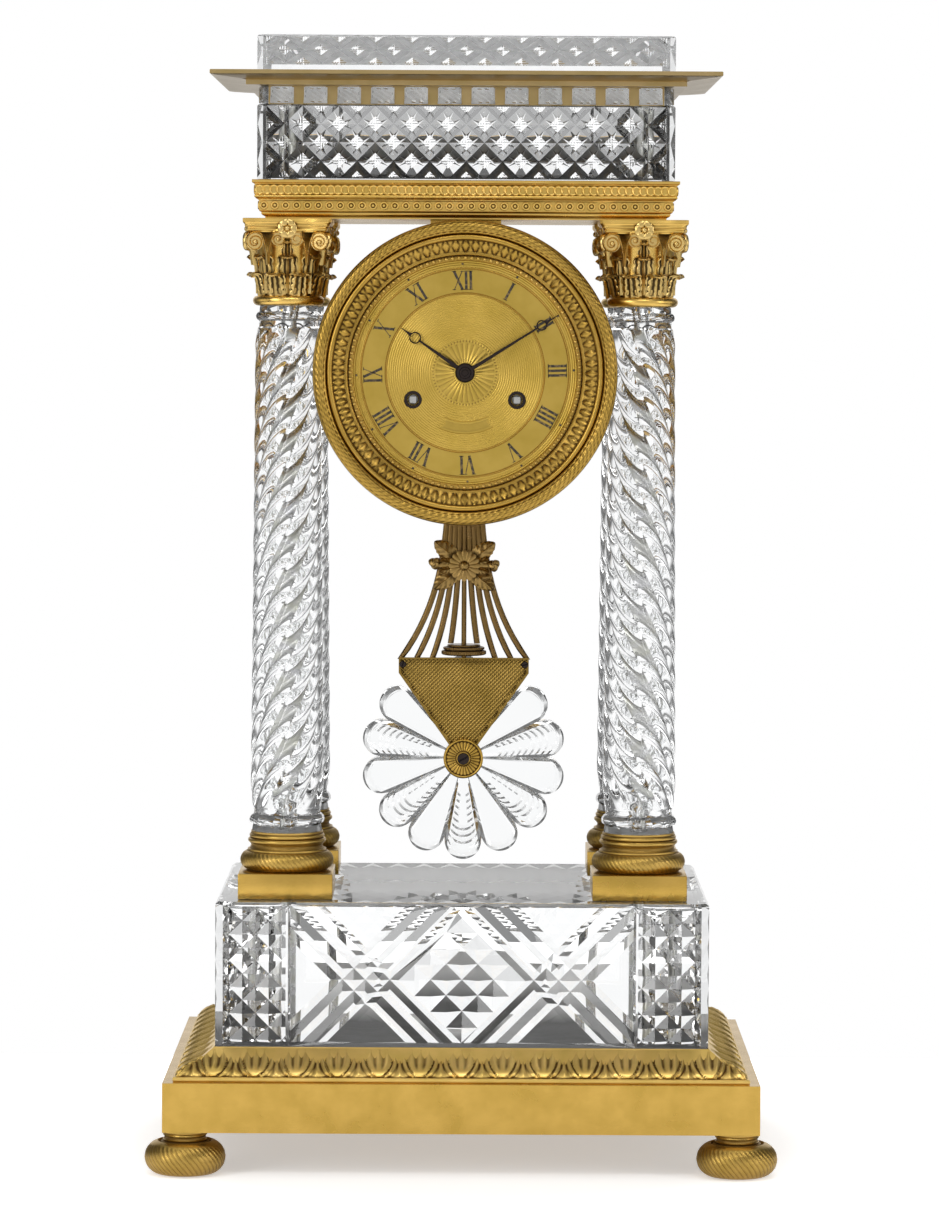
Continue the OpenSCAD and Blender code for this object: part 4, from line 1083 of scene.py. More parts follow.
def ribbon(points, width, thick, sides=8):
    # a band with a rounded section, swept along points, each with its sideways direction
    def place(u, v):
        k = min(len(points) - 2, int(v * (len(points) - 1) + 1e-6))
        share = v * (len(points) - 1) - k
        at = points[k][0].lerp(points[k + 1][0], share)
        ahead = (points[k + 1][0] - points[k][0]).normalized()
        sideways = points[k][1].lerp(points[k + 1][1], share).normalized()
        out = ahead.cross(sideways).normalized()
        taper = 1 - 0.45 * v
        a = TURN * u
        return at + sideways * (width / 2 * taper * math.cos(a)) + out * (thick / 2 * taper * math.sin(a))

    tube = bent_sheet(sides, 3 * (len(points) - 1), place)
    return filled(welded(tube, 0.001))


def scroll(centre, axis_u, axis_w, start_r, turns, stem, width, thick):
    # a stem that rises to a spiral; axis_u points outwards, axis_w up, and the band is wide across both
    sideways = axis_u.cross(axis_w)
    points = []
    for at in stem:
        points.append((at, sideways))
    for k in range(int(turns * 16) + 1):
        a = math.pi * 0.72 - TURN * k / 16
        r = start_r * (1 - 0.8 * k / (turns * 16))
        points.append((centre + axis_u * (r * math.cos(a)) + axis_w * (r * math.sin(a)), sideways))
    return ribbon(points, width, thick)


UP = Vector((0, 0, 1))


VOLUTE_AT = (16.4, 20.2, 32.0)
VOLUTE_R = 5.1


def volute(centre, lean, stem, radius, wide, deep, turns=2.1):
    # a scroll whose face looks to the front, turned a little by lean, with a sunk plate between its turns
    along = Vector((math.cos(lean), math.sin(lean), 0))
    band = scroll(centre, along, UP, radius, turns, stem, wide, deep)
    plate = turned([(0, -0.5), (radius * 0.86, -0.5), (radius * 0.86, 0.5), (0, 0.5)], 24)
    face = along.cross(UP)
    to_face = UP.rotation_difference(face).to_matrix()
    bmesh.ops.rotate(plate, verts=plate.verts[:], cent=(0, 0, 0), matrix=to_face)
    moved(plate, centre)
    eye = moved(ball(radius * 0.24, 12, 8), centre + face * (0.35 * wide))
    return joined([band, plate, eye])


def corner_scroll():
    # two scrolls lean against each other under the corner, one for each side of the capital
    x, y, z = VOLUTE_AT
    stem = [Vector(at) for at in ((10.2, -17.2, 20.5), (10.6, -18.0, 26.0), (11.6, -18.8, 31.5),
                                  (13.0, -19.6, 35.6))]
    first = volute(Vector((x, -y, z)), math.radians(-14), stem, VOLUTE_R, 3.0, 1.25)
    second = first.copy()
    sized(second, (1, -1, 1))
    spun(second, -math.pi / 2, "Z")
    bmesh.ops.reverse_faces(second, faces=second.faces[:])
    return joined([first, second])


def face_helices():
    parts = []
    for hand in (-1, 1):
        stem = [Vector((hand * x, y, z)) for x, y, z in ((9.6, -17.2, 21.0), (9.2, -18.0, 27.0),
                                                         (8.4, -18.8, 32.0), (7.0, -19.4, 35.4))]
        lean = 0 if hand < 0 else math.pi
        parts.append(volute(Vector((hand * 4.6, -19.4, 33.4)), lean, stem, 3.9, 2.4, 1.2, 1.7))
    return joined(parts)


def flower(petals, inner, outer, thick, bud):
    # petals stand round the y axis, the flower looks to the front
    parts = []
    for k in range(petals):
        petal = ball(0.5, 10, 6)
        middle = (inner + outer) / 2
        wide = 3.0 * math.pi * middle / petals
        for v in petal.verts:
            v.co.z *= 1 + 1.1 * v.co.x
        sized(petal, (outer - inner, thick, wide))
        moved(petal, (middle, 0, 0))
        spun(petal, k * TURN / petals, "Y")
        parts.append(petal)
    return joined(parts + [moved(ball(bud, 14, 10), (0, -thick * 0.3, 0))])


# %% Capital
ABACUS = 45.4


def abacus_outline(steps=14):
    # one side of the hollow-sided slab, from corner to corner, in plan
    half = ABACUS / 2
    hollow_at = half + 41.0
    hollow_r = 44.0
    corner = half - 3.3
    points = [(-corner - 1.6, -half + 0.25)]
    for k in range(steps + 1):
        x = -corner + 2 * corner * k / steps
        points.append((x, -min(half - 0.2, hollow_at - math.sqrt(max(0, hollow_r ** 2 - x * x)))))
    points.append((corner + 1.6, -half + 0.25))
    return points


def abacus_slab():
    side = abacus_outline()
    loop = []
    for k in range(4):
        spin = Matrix.Rotation(k * TURN / 4, 2)
        loop += [spin @ Vector(p) for p in side]
    levels = [(0.86, 0.0), (0.875, 0.6), (0.905, 0.75), (0.905, 1.7), (0.92, 2.1), (0.93, 2.6), (0.955, 2.8),
              (0.955, 3.6), (0.965, 4.1), (0.985, 4.5), (0.995, 4.9), (0.995, 5.1), (1.0, 5.2), (1.0, 6.85),
              (0.992, 7.0)]

    def place(u, v):
        point = loop[round(u * len(loop)) % len(loop)]
        share, z = levels[round(v * (len(levels) - 1))]
        return Vector((point[0] * share, point[1] * share, CAP_H - 7.0 + z))

    slab = bent_sheet(len(loop), len(levels) - 1, place)
    return filled(welded(slab, 0.001))


def capital_core():
    outline = [(0, 0), (15.6, 0)] + arc(15.7, CAP_RING / 2 + 0.3, CAP_RING / 2 + 0.2, -80, 80, 12)
    outline += [(bell_radius(CAP_RING + CAP_TALL * k / 12), CAP_RING + CAP_TALL * k / 12) for k in range(13)]
    outline += [(BELL_LIP, CAP_H - SLAB_H - 1.4), (BELL_LIP, CAP_H - SLAB_H), (0, CAP_H - SLAB_H)]
    return turned(outline, 64)


def capital_dress():
    parts = [copied(acanthus(CAP_RING + 0.4, 10.4, 12.6, 1.4), round_z(8, 0.5)),
             copied(acanthus(CAP_RING + 1.6, 18.2, 12.4, 0.3), round_z(8)),
             copied(acanthus(CAP_RING + 12.0, 15.5, 7.2, -0.2), round_z(4))]
    blossom = moved(flower(6, 1.0, 4.9, 1.9, 1.5), (0, -20.6, 38.9))
    for shape in (corner_scroll(), face_helices(), blossom):
        parts.append(copied(shape, round_z(4)))
    return joined(parts)


Z_CAPITAL = 436.5
capital_mesh = joined([abacus_slab(), capital_core()])
dress_mesh = capital_dress()
for corner, label in zip(CORNERS, CORNER_NAMES):
    at = (corner[0] * COLUMN_X, corner[1] * COLUMN_Y, Z_CAPITAL)
    core = outward(moved(capital_mesh.copy(), at))
    piece("capital_bell_" + label, core, gilt_chased, stands_for=["capital_" + label])
    leaves = outward(moved(dress_mesh.copy(), at))
    piece("capital_leaves_" + label, leaves, gilt_capital, smooth=math.radians(50))
capital_mesh.free()
dress_mesh.free()

# %% [markdown]
# ## Entablature
# The architrave is a frame with a chain of rings in a sunk band, and below it a row of small rings with a
# dot in each. Over it comes the crystal frieze, cut with one large lattice of flat-topped diamonds, each
# topped with fine hobnails; then crystal blocks, the bronze cornice, and a crystal slab with a single row
# of such diamonds.

# %% Architrave
Z_ARCHITRAVE = 480.5
ARCH_W = 216.0
ARCH_D = 146.0
ARCH_H = 19.5
CHAIN_LOW = 11.9
CHAIN_HIGH = 17.0
CHAIN_PITCH = 3.6
ROSETTE_Z = 6.6
ROSETTE_PITCH = 5.5


def arch_section():
    points = [(6.5, 0), (6.5, 0.9), (6.1, 1.3), (5.2, 1.6), (4.7, 2.1), (4.6, 2.4), (4.6, 3.3), (3.9, 3.5),
              (3.5, 3.9), (3.5, 9.1), (2.9, 9.3), (2.9, 9.7), (2.1, 9.9), (1.7, 10.4), (1.2, 10.7),
              (1.2, 11.5), (1.5, CHAIN_LOW), (1.5, CHAIN_HIGH), (1.0, 17.3), (0.9, 17.6), (0.3, 17.8),
              (0.0, 18.1), (0.0, 19.3), (0.2, ARCH_H)]
    return [(inset, Z_ARCHITRAVE + z) for inset, z in points]


def sunk_band(along, t, half_long):
    z = along_section(arch_section(), t)[1] - Z_ARCHITRAVE
    return -0.45 if CHAIN_LOW < z < CHAIN_HIGH else 0


def capped(bm):
    return close_up(filled(bm), 0.001)


piece("architrave_frame", capped(mitred_strip(ARCH_W, ARCH_D, arch_section(), (60, 40), 96, sunk_band)),
      gilt_chased, stands_for=["architrave"])


def ring_dot():
    outline = [(0, 0.75), (0.6, 0.68), (0.85, 0.2), (1.1, 0.15), (1.45, 0.62), (2.0, 0.66), (2.3, 0.3),
               (2.35, -0.2)]
    return filled(face_forward(turned(outline, 10)))


def chain_ring():
    # one ring of the chain, leaning a little so that it passes over the next and under the one before
    outline = [(2.15 + 0.5 * math.cos(k * TURN / 5), 0.5 * math.sin(k * TURN / 5)) for k in range(5)]
    ring = face_forward(turned(outline + outline[:1], 12))
    return spun(ring, math.radians(9), "Z")


def border_places(pitch, inset, z):
    places = []
    for turn, half_long, half_deep in quarter_sides(ARCH_W, ARCH_D):
        reach = half_long - inset - 2.4
        count = round(2 * reach / pitch)
        for k in range(count + 1):
            x = -reach + k * 2 * reach / count
            here = Matrix.Translation((x, -(half_deep - inset), Z_ARCHITRAVE + z))
            places.append(Matrix.Rotation(turn * TURN / 4, 4, "Z") @ here)
    return places


piece("architrave_rosettes", copied(ring_dot(), border_places(ROSETTE_PITCH, 3.5, ROSETTE_Z)), gilt_painted_light)
chain_mid = (CHAIN_LOW + CHAIN_HIGH) / 2
piece("architrave_chain", copied(chain_ring(), border_places(CHAIN_PITCH, 1.5, chain_mid)), gilt_painted_light)

# %% Crystal frieze and top slab
FRIEZE_W = 211.2
FRIEZE_D = 141.2
Z_FRIEZE = 500.0
FRIEZE_H = 38.0
Z_ATTIC = 554.2
ATTIC_H = 18.8
VALLEY = -3.7
TABLE_SHARE = 0.42
TABLE_DEPTH = -0.7
HOBNAILS = 6
HOBNAIL_UP = 0.24


def diamond_side(bm, name, half, base_y, z0, wide, tall, mid, low, high):
    number = side_of(bm, name)
    base = Vector(SIDES[name][0]) * base_y
    base.z = z0
    rim = [(0, 1, low), (0, 1, high), (1, 0, half - 4.5), (1, 0, 4.5 - half)]
    scribe(bm, name, number, base, rim)

    def cut_here(u, v):
        return low < v < high and abs(u) < half - 4.5

    scribe(bm, name, number, base, lattice_lines(wide, tall, 0, mid, half, high), cut_here)
    count = int(half / wide) + 2
    border = []
    for k in range(-2 * count, 2 * count + 1):
        for sign in (1, -1):
            for side in (-0.5, 0.5):
                border.append((1 / wide, sign / tall, sign * mid / tall + k + side * TABLE_SHARE))
    scribe(bm, name, number, base, border, cut_here)

    def on_table(u, v):
        return cut_here(u, v) and lattice_offset(wide, tall, 0, mid, u, v) < TABLE_SHARE

    fine_lines = []
    for k in range(-2 * count, 2 * count + 1):
        for sign in (1, -1):
            for part in range(1, HOBNAILS):
                share = (part / HOBNAILS - 0.5) * TABLE_SHARE
                fine_lines.append((1 / wide, sign / tall, sign * mid / tall + k + share))
    scribe(bm, name, number, base, fine_lines, on_table)

    def depth(u, v):
        if not low + 0.01 < v < high - 0.01 or abs(u) > half - 4.51:
            return 0
        off = lattice_offset(wide, tall, 0, mid, u, v)
        if off > TABLE_SHARE + 0.001:
            return TABLE_DEPTH + (VALLEY - TABLE_DEPTH) * (off - TABLE_SHARE) / (1 - TABLE_SHARE)
        knob = 0
        for cell in (u / wide + (v - mid) / tall, u / wide - (v - mid) / tall):
            knob += round(((cell - round(cell)) / TABLE_SHARE + 0.5) * HOBNAILS)
        return TABLE_DEPTH + (HOBNAIL_UP if knob % 2 else 0.0)

    press(bm, name, number, base, depth)


def diamond_block(z0, high, tall, mid, low, top):
    bm = chamfered(FRIEZE_W, FRIEZE_D, z0, z0 + high, 3.0, 0.8)
    wide_long = FRIEZE_W / 11.5
    wide_deep = FRIEZE_D / 7.5
    diamond_side(bm, "front", FRIEZE_W / 2, FRIEZE_D / 2, z0, wide_long, tall, mid, low, top)
    diamond_side(bm, "right", FRIEZE_D / 2, FRIEZE_W / 2, z0, wide_deep, tall, mid, low, top)
    diamond_side(bm, "left", FRIEZE_D / 2, FRIEZE_W / 2, z0, wide_deep, tall, mid, low, top)
    return eased(close_up(bm, 0.0005), z0, z0 + high)


piece("cut_frieze", diamond_block(Z_FRIEZE, FRIEZE_H, 18.4, FRIEZE_H / 2, 0.6, FRIEZE_H - 0.6), crystal,
      stands_for=["crystal_frieze"], smooth=0)
piece("cut_top_slab", diamond_block(Z_ATTIC, ATTIC_H, 13.2, 11.2, 3.6, ATTIC_H - 0.9), crystal,
      stands_for=["crystal_attic"], smooth=0)

# a dark sheet under the frieze paints shade into it, paler towards the back, and a pale sheet under the top
# slab paints light
for label, z, backing_tone in (("frieze_painted_backing", Z_FRIEZE, frieze_painted_shade), ("slab_painted_backing", Z_ATTIC, pale_painted_light)):
    backing = block((FRIEZE_W - 2.0, FRIEZE_D - 2.0, 2 * BACKING_UP), (0, 0, z))
    piece(label, backing, backing_tone)

# %% Crystal blocks under the cornice
Z_DENTIL = 538.0
DENTIL_T = 5.0
DENTILS_FRONT = 12
DENTILS_SIDE = 7
DENTIL_SHARE = 0.72
DENTIL_CELLS = 6
CELLS_LOW = 0.9
CELLS_TALL = 7.5
CELLS_MARGIN = 1.4


def dentil(wide):
    bm = block((wide, DENTIL_T - 0.15, 8.5), (0, -DENTIL_T / 2 - 0.075, 4.65), 0)
    top = [v for v in bm.verts if v.co.z > 5]
    bmesh.ops.scale(bm, vec=(1 - 1.6 / wide, 1, 1), verts=top)
    edges = [e for e in bm.edges if all(v.co.y < -1 for v in e.verts)]
    bevelled(bm, edges, 0.5)
    number = side_of(bm, "front")
    base = Vector((0, -DENTIL_T, 0))
    cells = DENTIL_CELLS
    lines = [(1, 0, (k / cells - 0.5) * (wide - CELLS_MARGIN)) for k in range(1, cells)]
    lines += [(0, 1, CELLS_LOW + CELLS_TALL * k / cells) for k in range(1, cells)]
    scribe(bm, "front", number, base, lines)

    def depth(u, v):
        column = round((u / (wide - CELLS_MARGIN) + 0.5) * cells)
        row = round((v - CELLS_LOW) / CELLS_TALL * cells)
        if not 0 < column < cells or not 0 < row < cells:
            return 0
        return -0.75 if (column + row) % 2 else -0.05

    press(bm, "front", number, base, depth)
    return bm


def dentil_row(shape, count, width, half_deep, turns):
    pitch = (width - 8) / count
    places = []
    for turn in turns:
        for k in range(count):
            x = (k - (count - 1) / 2) * pitch
            here = Matrix.Translation((x, -(half_deep - DENTIL_T - 0.6), Z_DENTIL))
            places.append(Matrix.Rotation(turn * TURN / 4, 4, "Z") @ here)
    return copied(shape(pitch * DENTIL_SHARE), places)


def dentil_backing(wide):
    return block((wide - 0.4, 0.2, 8.1), (0, 0, 4.65))


def both_rows(shape):
    return joined([dentil_row(shape, DENTILS_FRONT, FRIEZE_W, FRIEZE_D / 2, (0, 2)),
                   dentil_row(shape, DENTILS_SIDE, FRIEZE_D, FRIEZE_W / 2, (1, 3))])


piece("cut_blocks", close_up(both_rows(dentil), 0.0005), crystal, stands_for=["crystal_dentils"],
      smooth=0)
# pale sheets behind the crystal blocks paint light into them
piece("block_painted_backing", both_rows(dentil_backing), pale_painted_light)
dress("cornice", gilt_worn, bevel=0.2)

# %% [markdown]
# ## Bezel
# The ring round the dial is turned in steps: a row of pearls next to the dial, a chased band of small
# leaves on the slope, a bright bead, and a wide convex ring with slanting engine turning. The section is
# bent round as one closed sheet, and the pattern of each zone stands out along the section's own direction.

# %% Round pieces that look to the front
DIAL_Z = 403.0
DIAL_FRONT = 71.7344
RIDGES = 132
LEAVES_ROUND = 80


def round_sheet(section, steps, rows, relief):
    # section is [radius, forward], from the middle outwards; forward is towards the viewer
    stations = [along_section(section, k / rows) for k in range(rows + 1)]

    def place(u, v):
        r, forward, slope_r, slope_f = stations[round(v * rows)]
        angle = TURN * u
        swell = relief(angle, r, forward)
        r += slope_r * swell
        forward += slope_f * swell
        return Vector((r * math.cos(angle), -forward, r * math.sin(angle)))

    bm = bent_sheet(steps, rows, place)
    return welded(bm, 0.002)


def at_dial(bm):
    return moved(bm, (0, 0, DIAL_Z))


# %% Bezel
def bezel_section():
    points = [(57.3, 70.4), (56.7, 71.8), (56.7, 74.0), (56.9, 74.4), (59.2, 74.5), (59.5, 75.2)]
    points += [(60.0, 75.6), (60.5, 75.6), (60.9, 75.9), (66.6, 79.6), (66.9, 79.6), (67.0, 80.2)]
    points += arc(68.4, 80.7, 1.4, 170, 20, 8)
    points += [(69.9, 80.4)] + arc(73.45, 80.73, 3.4, 172, 8, 22)
    points += [(77.0, 80.0), (77.0, 71.6), (76.3, 70.3)]
    return points


def bezel_relief(angle, r, forward):
    if 70.3 < r < 76.9 and forward > 80.5:
        room = smooth_step(70.3, 71.0, r) * (1 - smooth_step(76.0, 76.8, r))
        slant = angle * RIDGES / TURN + (r - 70) * 0.42
        ridge = triangle_wave(slant)
        return -room * (0.42 * ridge + 0.34 * triangle_wave(r * 0.85) * (1 - ridge))
    if 61.0 < r < 66.5 and forward < 79.8:
        t = (r - 61.0) / 5.5
        cell = angle * LEAVES_ROUND / TURN
        side = abs(cell - round(cell)) * 2
        outline = 0.92 * (1 - (1 - t) ** 2.2) * (1 - 0.8 * smooth_step(0.5, 1.0, t))
        if side < outline:
            return 0.55 * (1 - side / outline) - 0.1
        return 0.2 * side - 0.3
    return 0


bezel = at_dial(closed_ring(round_sheet(bezel_section(), RIDGES * 6, 110, bezel_relief)))
piece("turned_bezel", bezel, gilt_patina_painted_shade, stands_for=["front_bezel"])


def pearl_ring(count, radius, size, forward):
    places = []
    for k in range(count):
        a = k * TURN / count
        places.append(Matrix.Translation((radius * math.cos(a), -forward, radius * math.sin(a))))
    return at_dial(copied(ball(size, 8, 5), places))


piece("bezel_pearls", pearl_ring(112, 58.0, 1.05, 74.6), gilt_matt)

# %% [markdown]
# ## Dial
# The gilt dial plate stays as the frame made it, with its holes. On it lie a chapter ring between thin gilt
# circles, twelve Roman numerals, a dot for each five minutes, a rayed rosette in the middle and an empty
# ribbon below it. Numerals are built from straight strokes with small feet, and all their feet point to the
# middle.

# %% Dial plate and rings
DIAL_TURN = math.radians(-1.6)
INK_UP = 0.16
WIND_X = 26.3
WIND_Z = -13.7


def upright(degrees):
    # the turn that brings a piece from twelve o'clock to this angle, clockwise as seen from the front
    return Matrix.Rotation(math.radians(degrees) + DIAL_TURN, 4, "Y")


def flat_ring(inner, outer, low, high, steps=180):
    edge = min(0.08, (outer - inner) / 4)
    section = [(inner, low), (inner, high - edge), (inner + edge, high), (outer - edge, high),
               (outer, high - edge), (outer, low)]
    ring = turned(section, steps)
    bmesh.ops.bridge_loops(ring, edges=rims(ring))
    return face_forward(close_up(ring, 0.001))


dress("dial", dial_gilt)
chapter = [flat_ring(40.6, 52.2, DIAL_FRONT - 0.05, DIAL_FRONT + 0.22)]
piece("chapter_ring", at_dial(joined(chapter)), dial_raised)
circles = [flat_ring(r, r + 0.32, DIAL_FRONT - 0.05, DIAL_FRONT + 0.3) for r in (39.5, 40.25, 52.3, 53.05)]
piece("dial_circles", at_dial(joined(circles)), gilt_plain)
dot = flat_ring(0.02, 0.62, DIAL_FRONT - 0.05, DIAL_FRONT + INK_UP, 12)
dots = copied(dot, [upright(30 * k) @ Matrix.Translation((0, 0, 55.0)) for k in range(12)])
piece("minute_dots", at_dial(dots), black_wax)
# dark rings round the two winding holes paint the shade that fills each hole
painted_shade_ring = flat_ring(3.1, 4.5, DIAL_FRONT - 0.5, DIAL_FRONT + 0.35, 32)
painted_shade_rings = copied(painted_shade_ring, [Matrix.Translation((x, 0, WIND_Z)) for x in (-WIND_X, WIND_X)])
piece("winding_painted_shade_rings", at_dial(painted_shade_rings), blued_steel)

# %% Roman numerals
NUMERAL_FOOT = 41.9
NUMERAL_TALL = 9.6
THICK_STROKE = 1.3
THIN_STROKE = 0.42
NUMERALS = "I II III IIII V VI VII VIII IX X XI XII".split()
LETTER_WIDTHS = {"I": 2.35, "V": 5.6, "X": 5.6}


def stroke(start, stop, width):
    along = Vector((stop[0] - start[0], stop[1] - start[1]))
    bar = block((width, 0.25, along.length), (0, 0, along.length / 2))
    spun(bar, math.atan2(along.x, along.y), "Y")
    return moved(bar, (start[0], -(DIAL_FRONT + 0.26), start[1]))


def serif(x, z, width):
    return stroke((x - width / 2, z), (x + width / 2, z), 0.36)


def letter(kind, x):
    low = NUMERAL_FOOT
    high = NUMERAL_FOOT + NUMERAL_TALL
    half = LETTER_WIDTHS[kind] / 2 - 0.7
    if kind == "I":
        return [stroke((x, low), (x, high), THICK_STROKE),
                serif(x, low + 0.2, 2.3), serif(x, high - 0.2, 2.3)]
    if kind == "V":
        return [stroke((x - half, high), (x, low), THICK_STROKE),
                stroke((x + half, high), (x, low), THIN_STROKE),
                serif(x - half, high - 0.2, 2.3), serif(x + half, high - 0.2, 1.7)]
    return [stroke((x - half, high), (x + half, low), THICK_STROKE),
            stroke((x + half, high), (x - half, low), THIN_STROKE),
            serif(x - half, high - 0.2, 2.2), serif(x + half, high - 0.2, 1.7),
            serif(x - half, low + 0.2, 1.7), serif(x + half, low + 0.2, 2.2)]


def numeral(hour):
    word = NUMERALS[hour - 1]
    total = sum(LETTER_WIDTHS[kind] for kind in word)
    x = -total / 2
    parts = []
    for kind in word:
        parts += letter(kind, x + LETTER_WIDTHS[kind] / 2)
        x += LETTER_WIDTHS[kind]
    whole = joined(parts)
    bmesh.ops.transform(whole, matrix=upright(30 * hour), verts=whole.verts[:])
    return whole


hours = joined([numeral(hour) for hour in range(1, 13)])
piece("hour_numerals", at_dial(hours), black_wax)

# %% Middle of the dial
RAYS = 32
ROSETTE_R = 17.2


def rosette_relief(angle, r, forward):
    if forward < DIAL_FRONT + 0.1 or r < 5:
        return 0
    zone = smooth_step(5, 6, r) * (1 - smooth_step(14.9, 15.3, r))
    beads = smooth_step(15.4, 15.7, r) * (1 - smooth_step(16.6, 16.9, r))
    ray = angle * RAYS / TURN
    return -0.3 * zone * triangle_wave(ray) - 0.25 * beads * triangle_wave(2 * ray)


def middle_rosette():
    steps = [(4.6, -0.05), (4.6, 0.3), (5.0, 0.42), (15.0, 0.3), (15.3, 0.2), (ROSETTE_R - 0.4, 0.3),
             (ROSETTE_R, -0.05)]
    points = [(r, DIAL_FRONT + rise) for r, rise in steps]
    return closed_ring(round_sheet(points, RAYS * 12, 40, rosette_relief))


def blank_ribbon():
    # a plain curved band whose two ends are forked like a flag
    def place(u, v):
        side = 2 * u - 1
        fork = 3.4 * (1 - abs(2 * v - 1)) * smooth_step(0.8, 1.0, abs(side))
        a = math.radians(-90 + side * (26 - fork)) - DIAL_TURN
        r = 24.9 + 5.8 * v
        rim = 0.2 + (0.14 if v < 0.11 or v > 0.89 else 0)
        return Vector((r * math.cos(a), -(DIAL_FRONT + rim), r * math.sin(a)))

    return outward(bent_sheet(48, 12, place))


def closed_below(bm, depth):
    # a flat sheet gets a back, pushed away from the viewer
    made = bmesh.ops.extrude_edge_only(bm, edges=rims(bm))["geom"]
    lifted = [g for g in made if isinstance(g, bmesh.types.BMVert)]
    for v in lifted:
        v.co.y = depth
    return close_up(filled(bm), 0.0005)


piece("dial_rosette", at_dial(middle_rosette()), dial_raised)
band = closed_below(blank_ribbon(), -(DIAL_FRONT - 0.05))
piece("dial_ribbon", at_dial(band), dial_raised)

# %% [markdown]
# ## Hands
# Each hand is a bar that grows thinner towards its tip, with an open eye near the tip and a round boss over
# the arbor. The metal was blued once and has gone nearly black.

# %% Hands
def tapered(foot_wide, top_wide, foot_z, top_z, thick):
    bar = block((1, thick, top_z - foot_z), (0, -thick / 2, (foot_z + top_z) / 2))
    for v in bar.verts:
        v.co.x *= top_wide if v.co.z > (foot_z + top_z) / 2 else foot_wide
    bevelled(bar, bar.edges[:], 0.06)
    return bar


def hand(tip, eye, eye_r, foot_wide, boss, front, degrees):
    # the hand points up while it is made, and then it is turned to its hour
    hole = eye_r - 0.62
    ring = [(hole, 0), (hole, 0.68), (hole + 0.1, 0.8), (eye_r - 0.1, 0.8), (eye_r, 0.68), (eye_r, 0),
            (hole, 0)]
    parts = [face_forward(turned(ring, 40), (0, 0, eye)), face_forward(turned(boss, 48)),
             tapered(foot_wide, 0.9, 3.2, eye - eye_r + 0.3, 0.8),
             tapered(1.9, 0.75, eye + eye_r - 0.35, eye + eye_r + 2.4, 0.8),
             tapered(0.75, 0.3, eye + eye_r + 2.3, tip, 0.6)]
    whole = moved(joined(parts), (0, -front, 0))
    bmesh.ops.transform(whole, matrix=Matrix.Rotation(math.radians(degrees), 4, "Y"), verts=whole.verts[:])
    return at_dial(outward(whole))


hour_boss = [(3.3, 0), (4.8, 0), (4.8, 1.0), (4.6, 1.2), (3.3, 1.2), (3.3, 0)]
minute_boss = [(2.3, -0.4), (4.2, -0.4), (4.4, -0.2), (4.4, 0.7), (4.2, 0.9), (3.3, 1.0), (2.9, 1.1),
               (2.9, 1.7), (2.7, 1.9), (1.7, 1.9), (1.5, 2.2), (0, 2.3), (0, 2.05), (2.3, 1.6), (2.3, -0.4)]
hour_mesh = hand(39.3, 30.8, 3.0, 2.2, hour_boss, DIAL_FRONT + 1.1, -55.2)
piece("hour_hand_fine", hour_mesh, blued_steel, "hour_works", stands_for=["hour_hand"])
minute_mesh = hand(55.7, 45.6, 2.7, 1.9, minute_boss, DIAL_FRONT + 3.2, 58)
piece("minute_hand_fine", minute_mesh, blued_steel, "minute_works", stands_for=["minute_hand"])

# %% [markdown]
# ## Pendulum
# Nine rods hang from one small block and spread like a fan behind a flower mount. A layered nut on the
# middle rod sets the time. The rods end in a plate that grows narrow towards its foot, with a fine cut
# ground, and the plate holds a crystal rosette of fourteen petals: every other petal is plain, and those
# between are cut in steps.

# %% Fan of rods
PENDULUM_Y = 10.9344
RODS_TOP = 386.0
RAIL_TOP = 253.5
NUT_Z = 255.8
NUT_H = 5.5
ROD_R = 1.3
ROD_OVAL = 1.2
PIVOT_Z = 439.0


def fan_half(z):
    t = (RODS_TOP - z) / (RODS_TOP - RAIL_TOP)
    return 8 + 25 * max(0, t) ** 3.9


def rod(index):
    low = NUT_Z + NUT_H + 0.5 if abs(index) == 1 else RAIL_TOP
    points = []
    for k in range(25):
        z = RODS_TOP + 0.5 + (low - RODS_TOP - 0.5) * k / 24
        points.append((Vector((index / 4 * fan_half(z), -PENDULUM_Y, z)), Vector((0, 1, 0))))
    tube = bent_sheet(12, 24, lambda u, v: rod_point(points, u, v))
    return filled(welded(tube, 0.001))


def rod_point(points, u, v):
    k = round(v * (len(points) - 1))
    at, sideways = points[k]
    before = points[max(0, k - 1)][0]
    after = points[min(len(points) - 1, k + 1)][0]
    out = (after - before).normalized().cross(sideways)
    if k in (0, len(points) - 1):
        out = Vector((1, 0, 0))
    a = TURN * u
    return at + sideways * (ROD_R * math.cos(a)) + out * (ROD_OVAL * ROD_R * math.sin(a))


def middle_rod():
    bm = turned([(0, RAIL_TOP), (ROD_R, RAIL_TOP), (ROD_R, PIVOT_Z - 5.2), (0, PIVOT_Z - 5.2)], 16)
    return moved(bm, (0, -PENDULUM_Y, 0))


rods = [rod(index) for index in range(-4, 5) if index]
rods += [middle_rod(), block((20, 2.6, 5), (0, -PENDULUM_Y, RODS_TOP + 1.5), 0.4),
         block((6, 3, 3.5), (0, -PENDULUM_Y, PIVOT_Z - 6.25), 0.3),
         block((5, 0.24, 5.6), (0, -PENDULUM_Y, PIVOT_Z - 2.2))]
piece("fan_rods", outward(joined(rods)), rod_brass, "pendulum", stands_for=["pendulum_rods"])

# %% Flower mount
MOUNT_Z = 302.4
MOUNT_BACK = PENDULUM_Y + 1.3


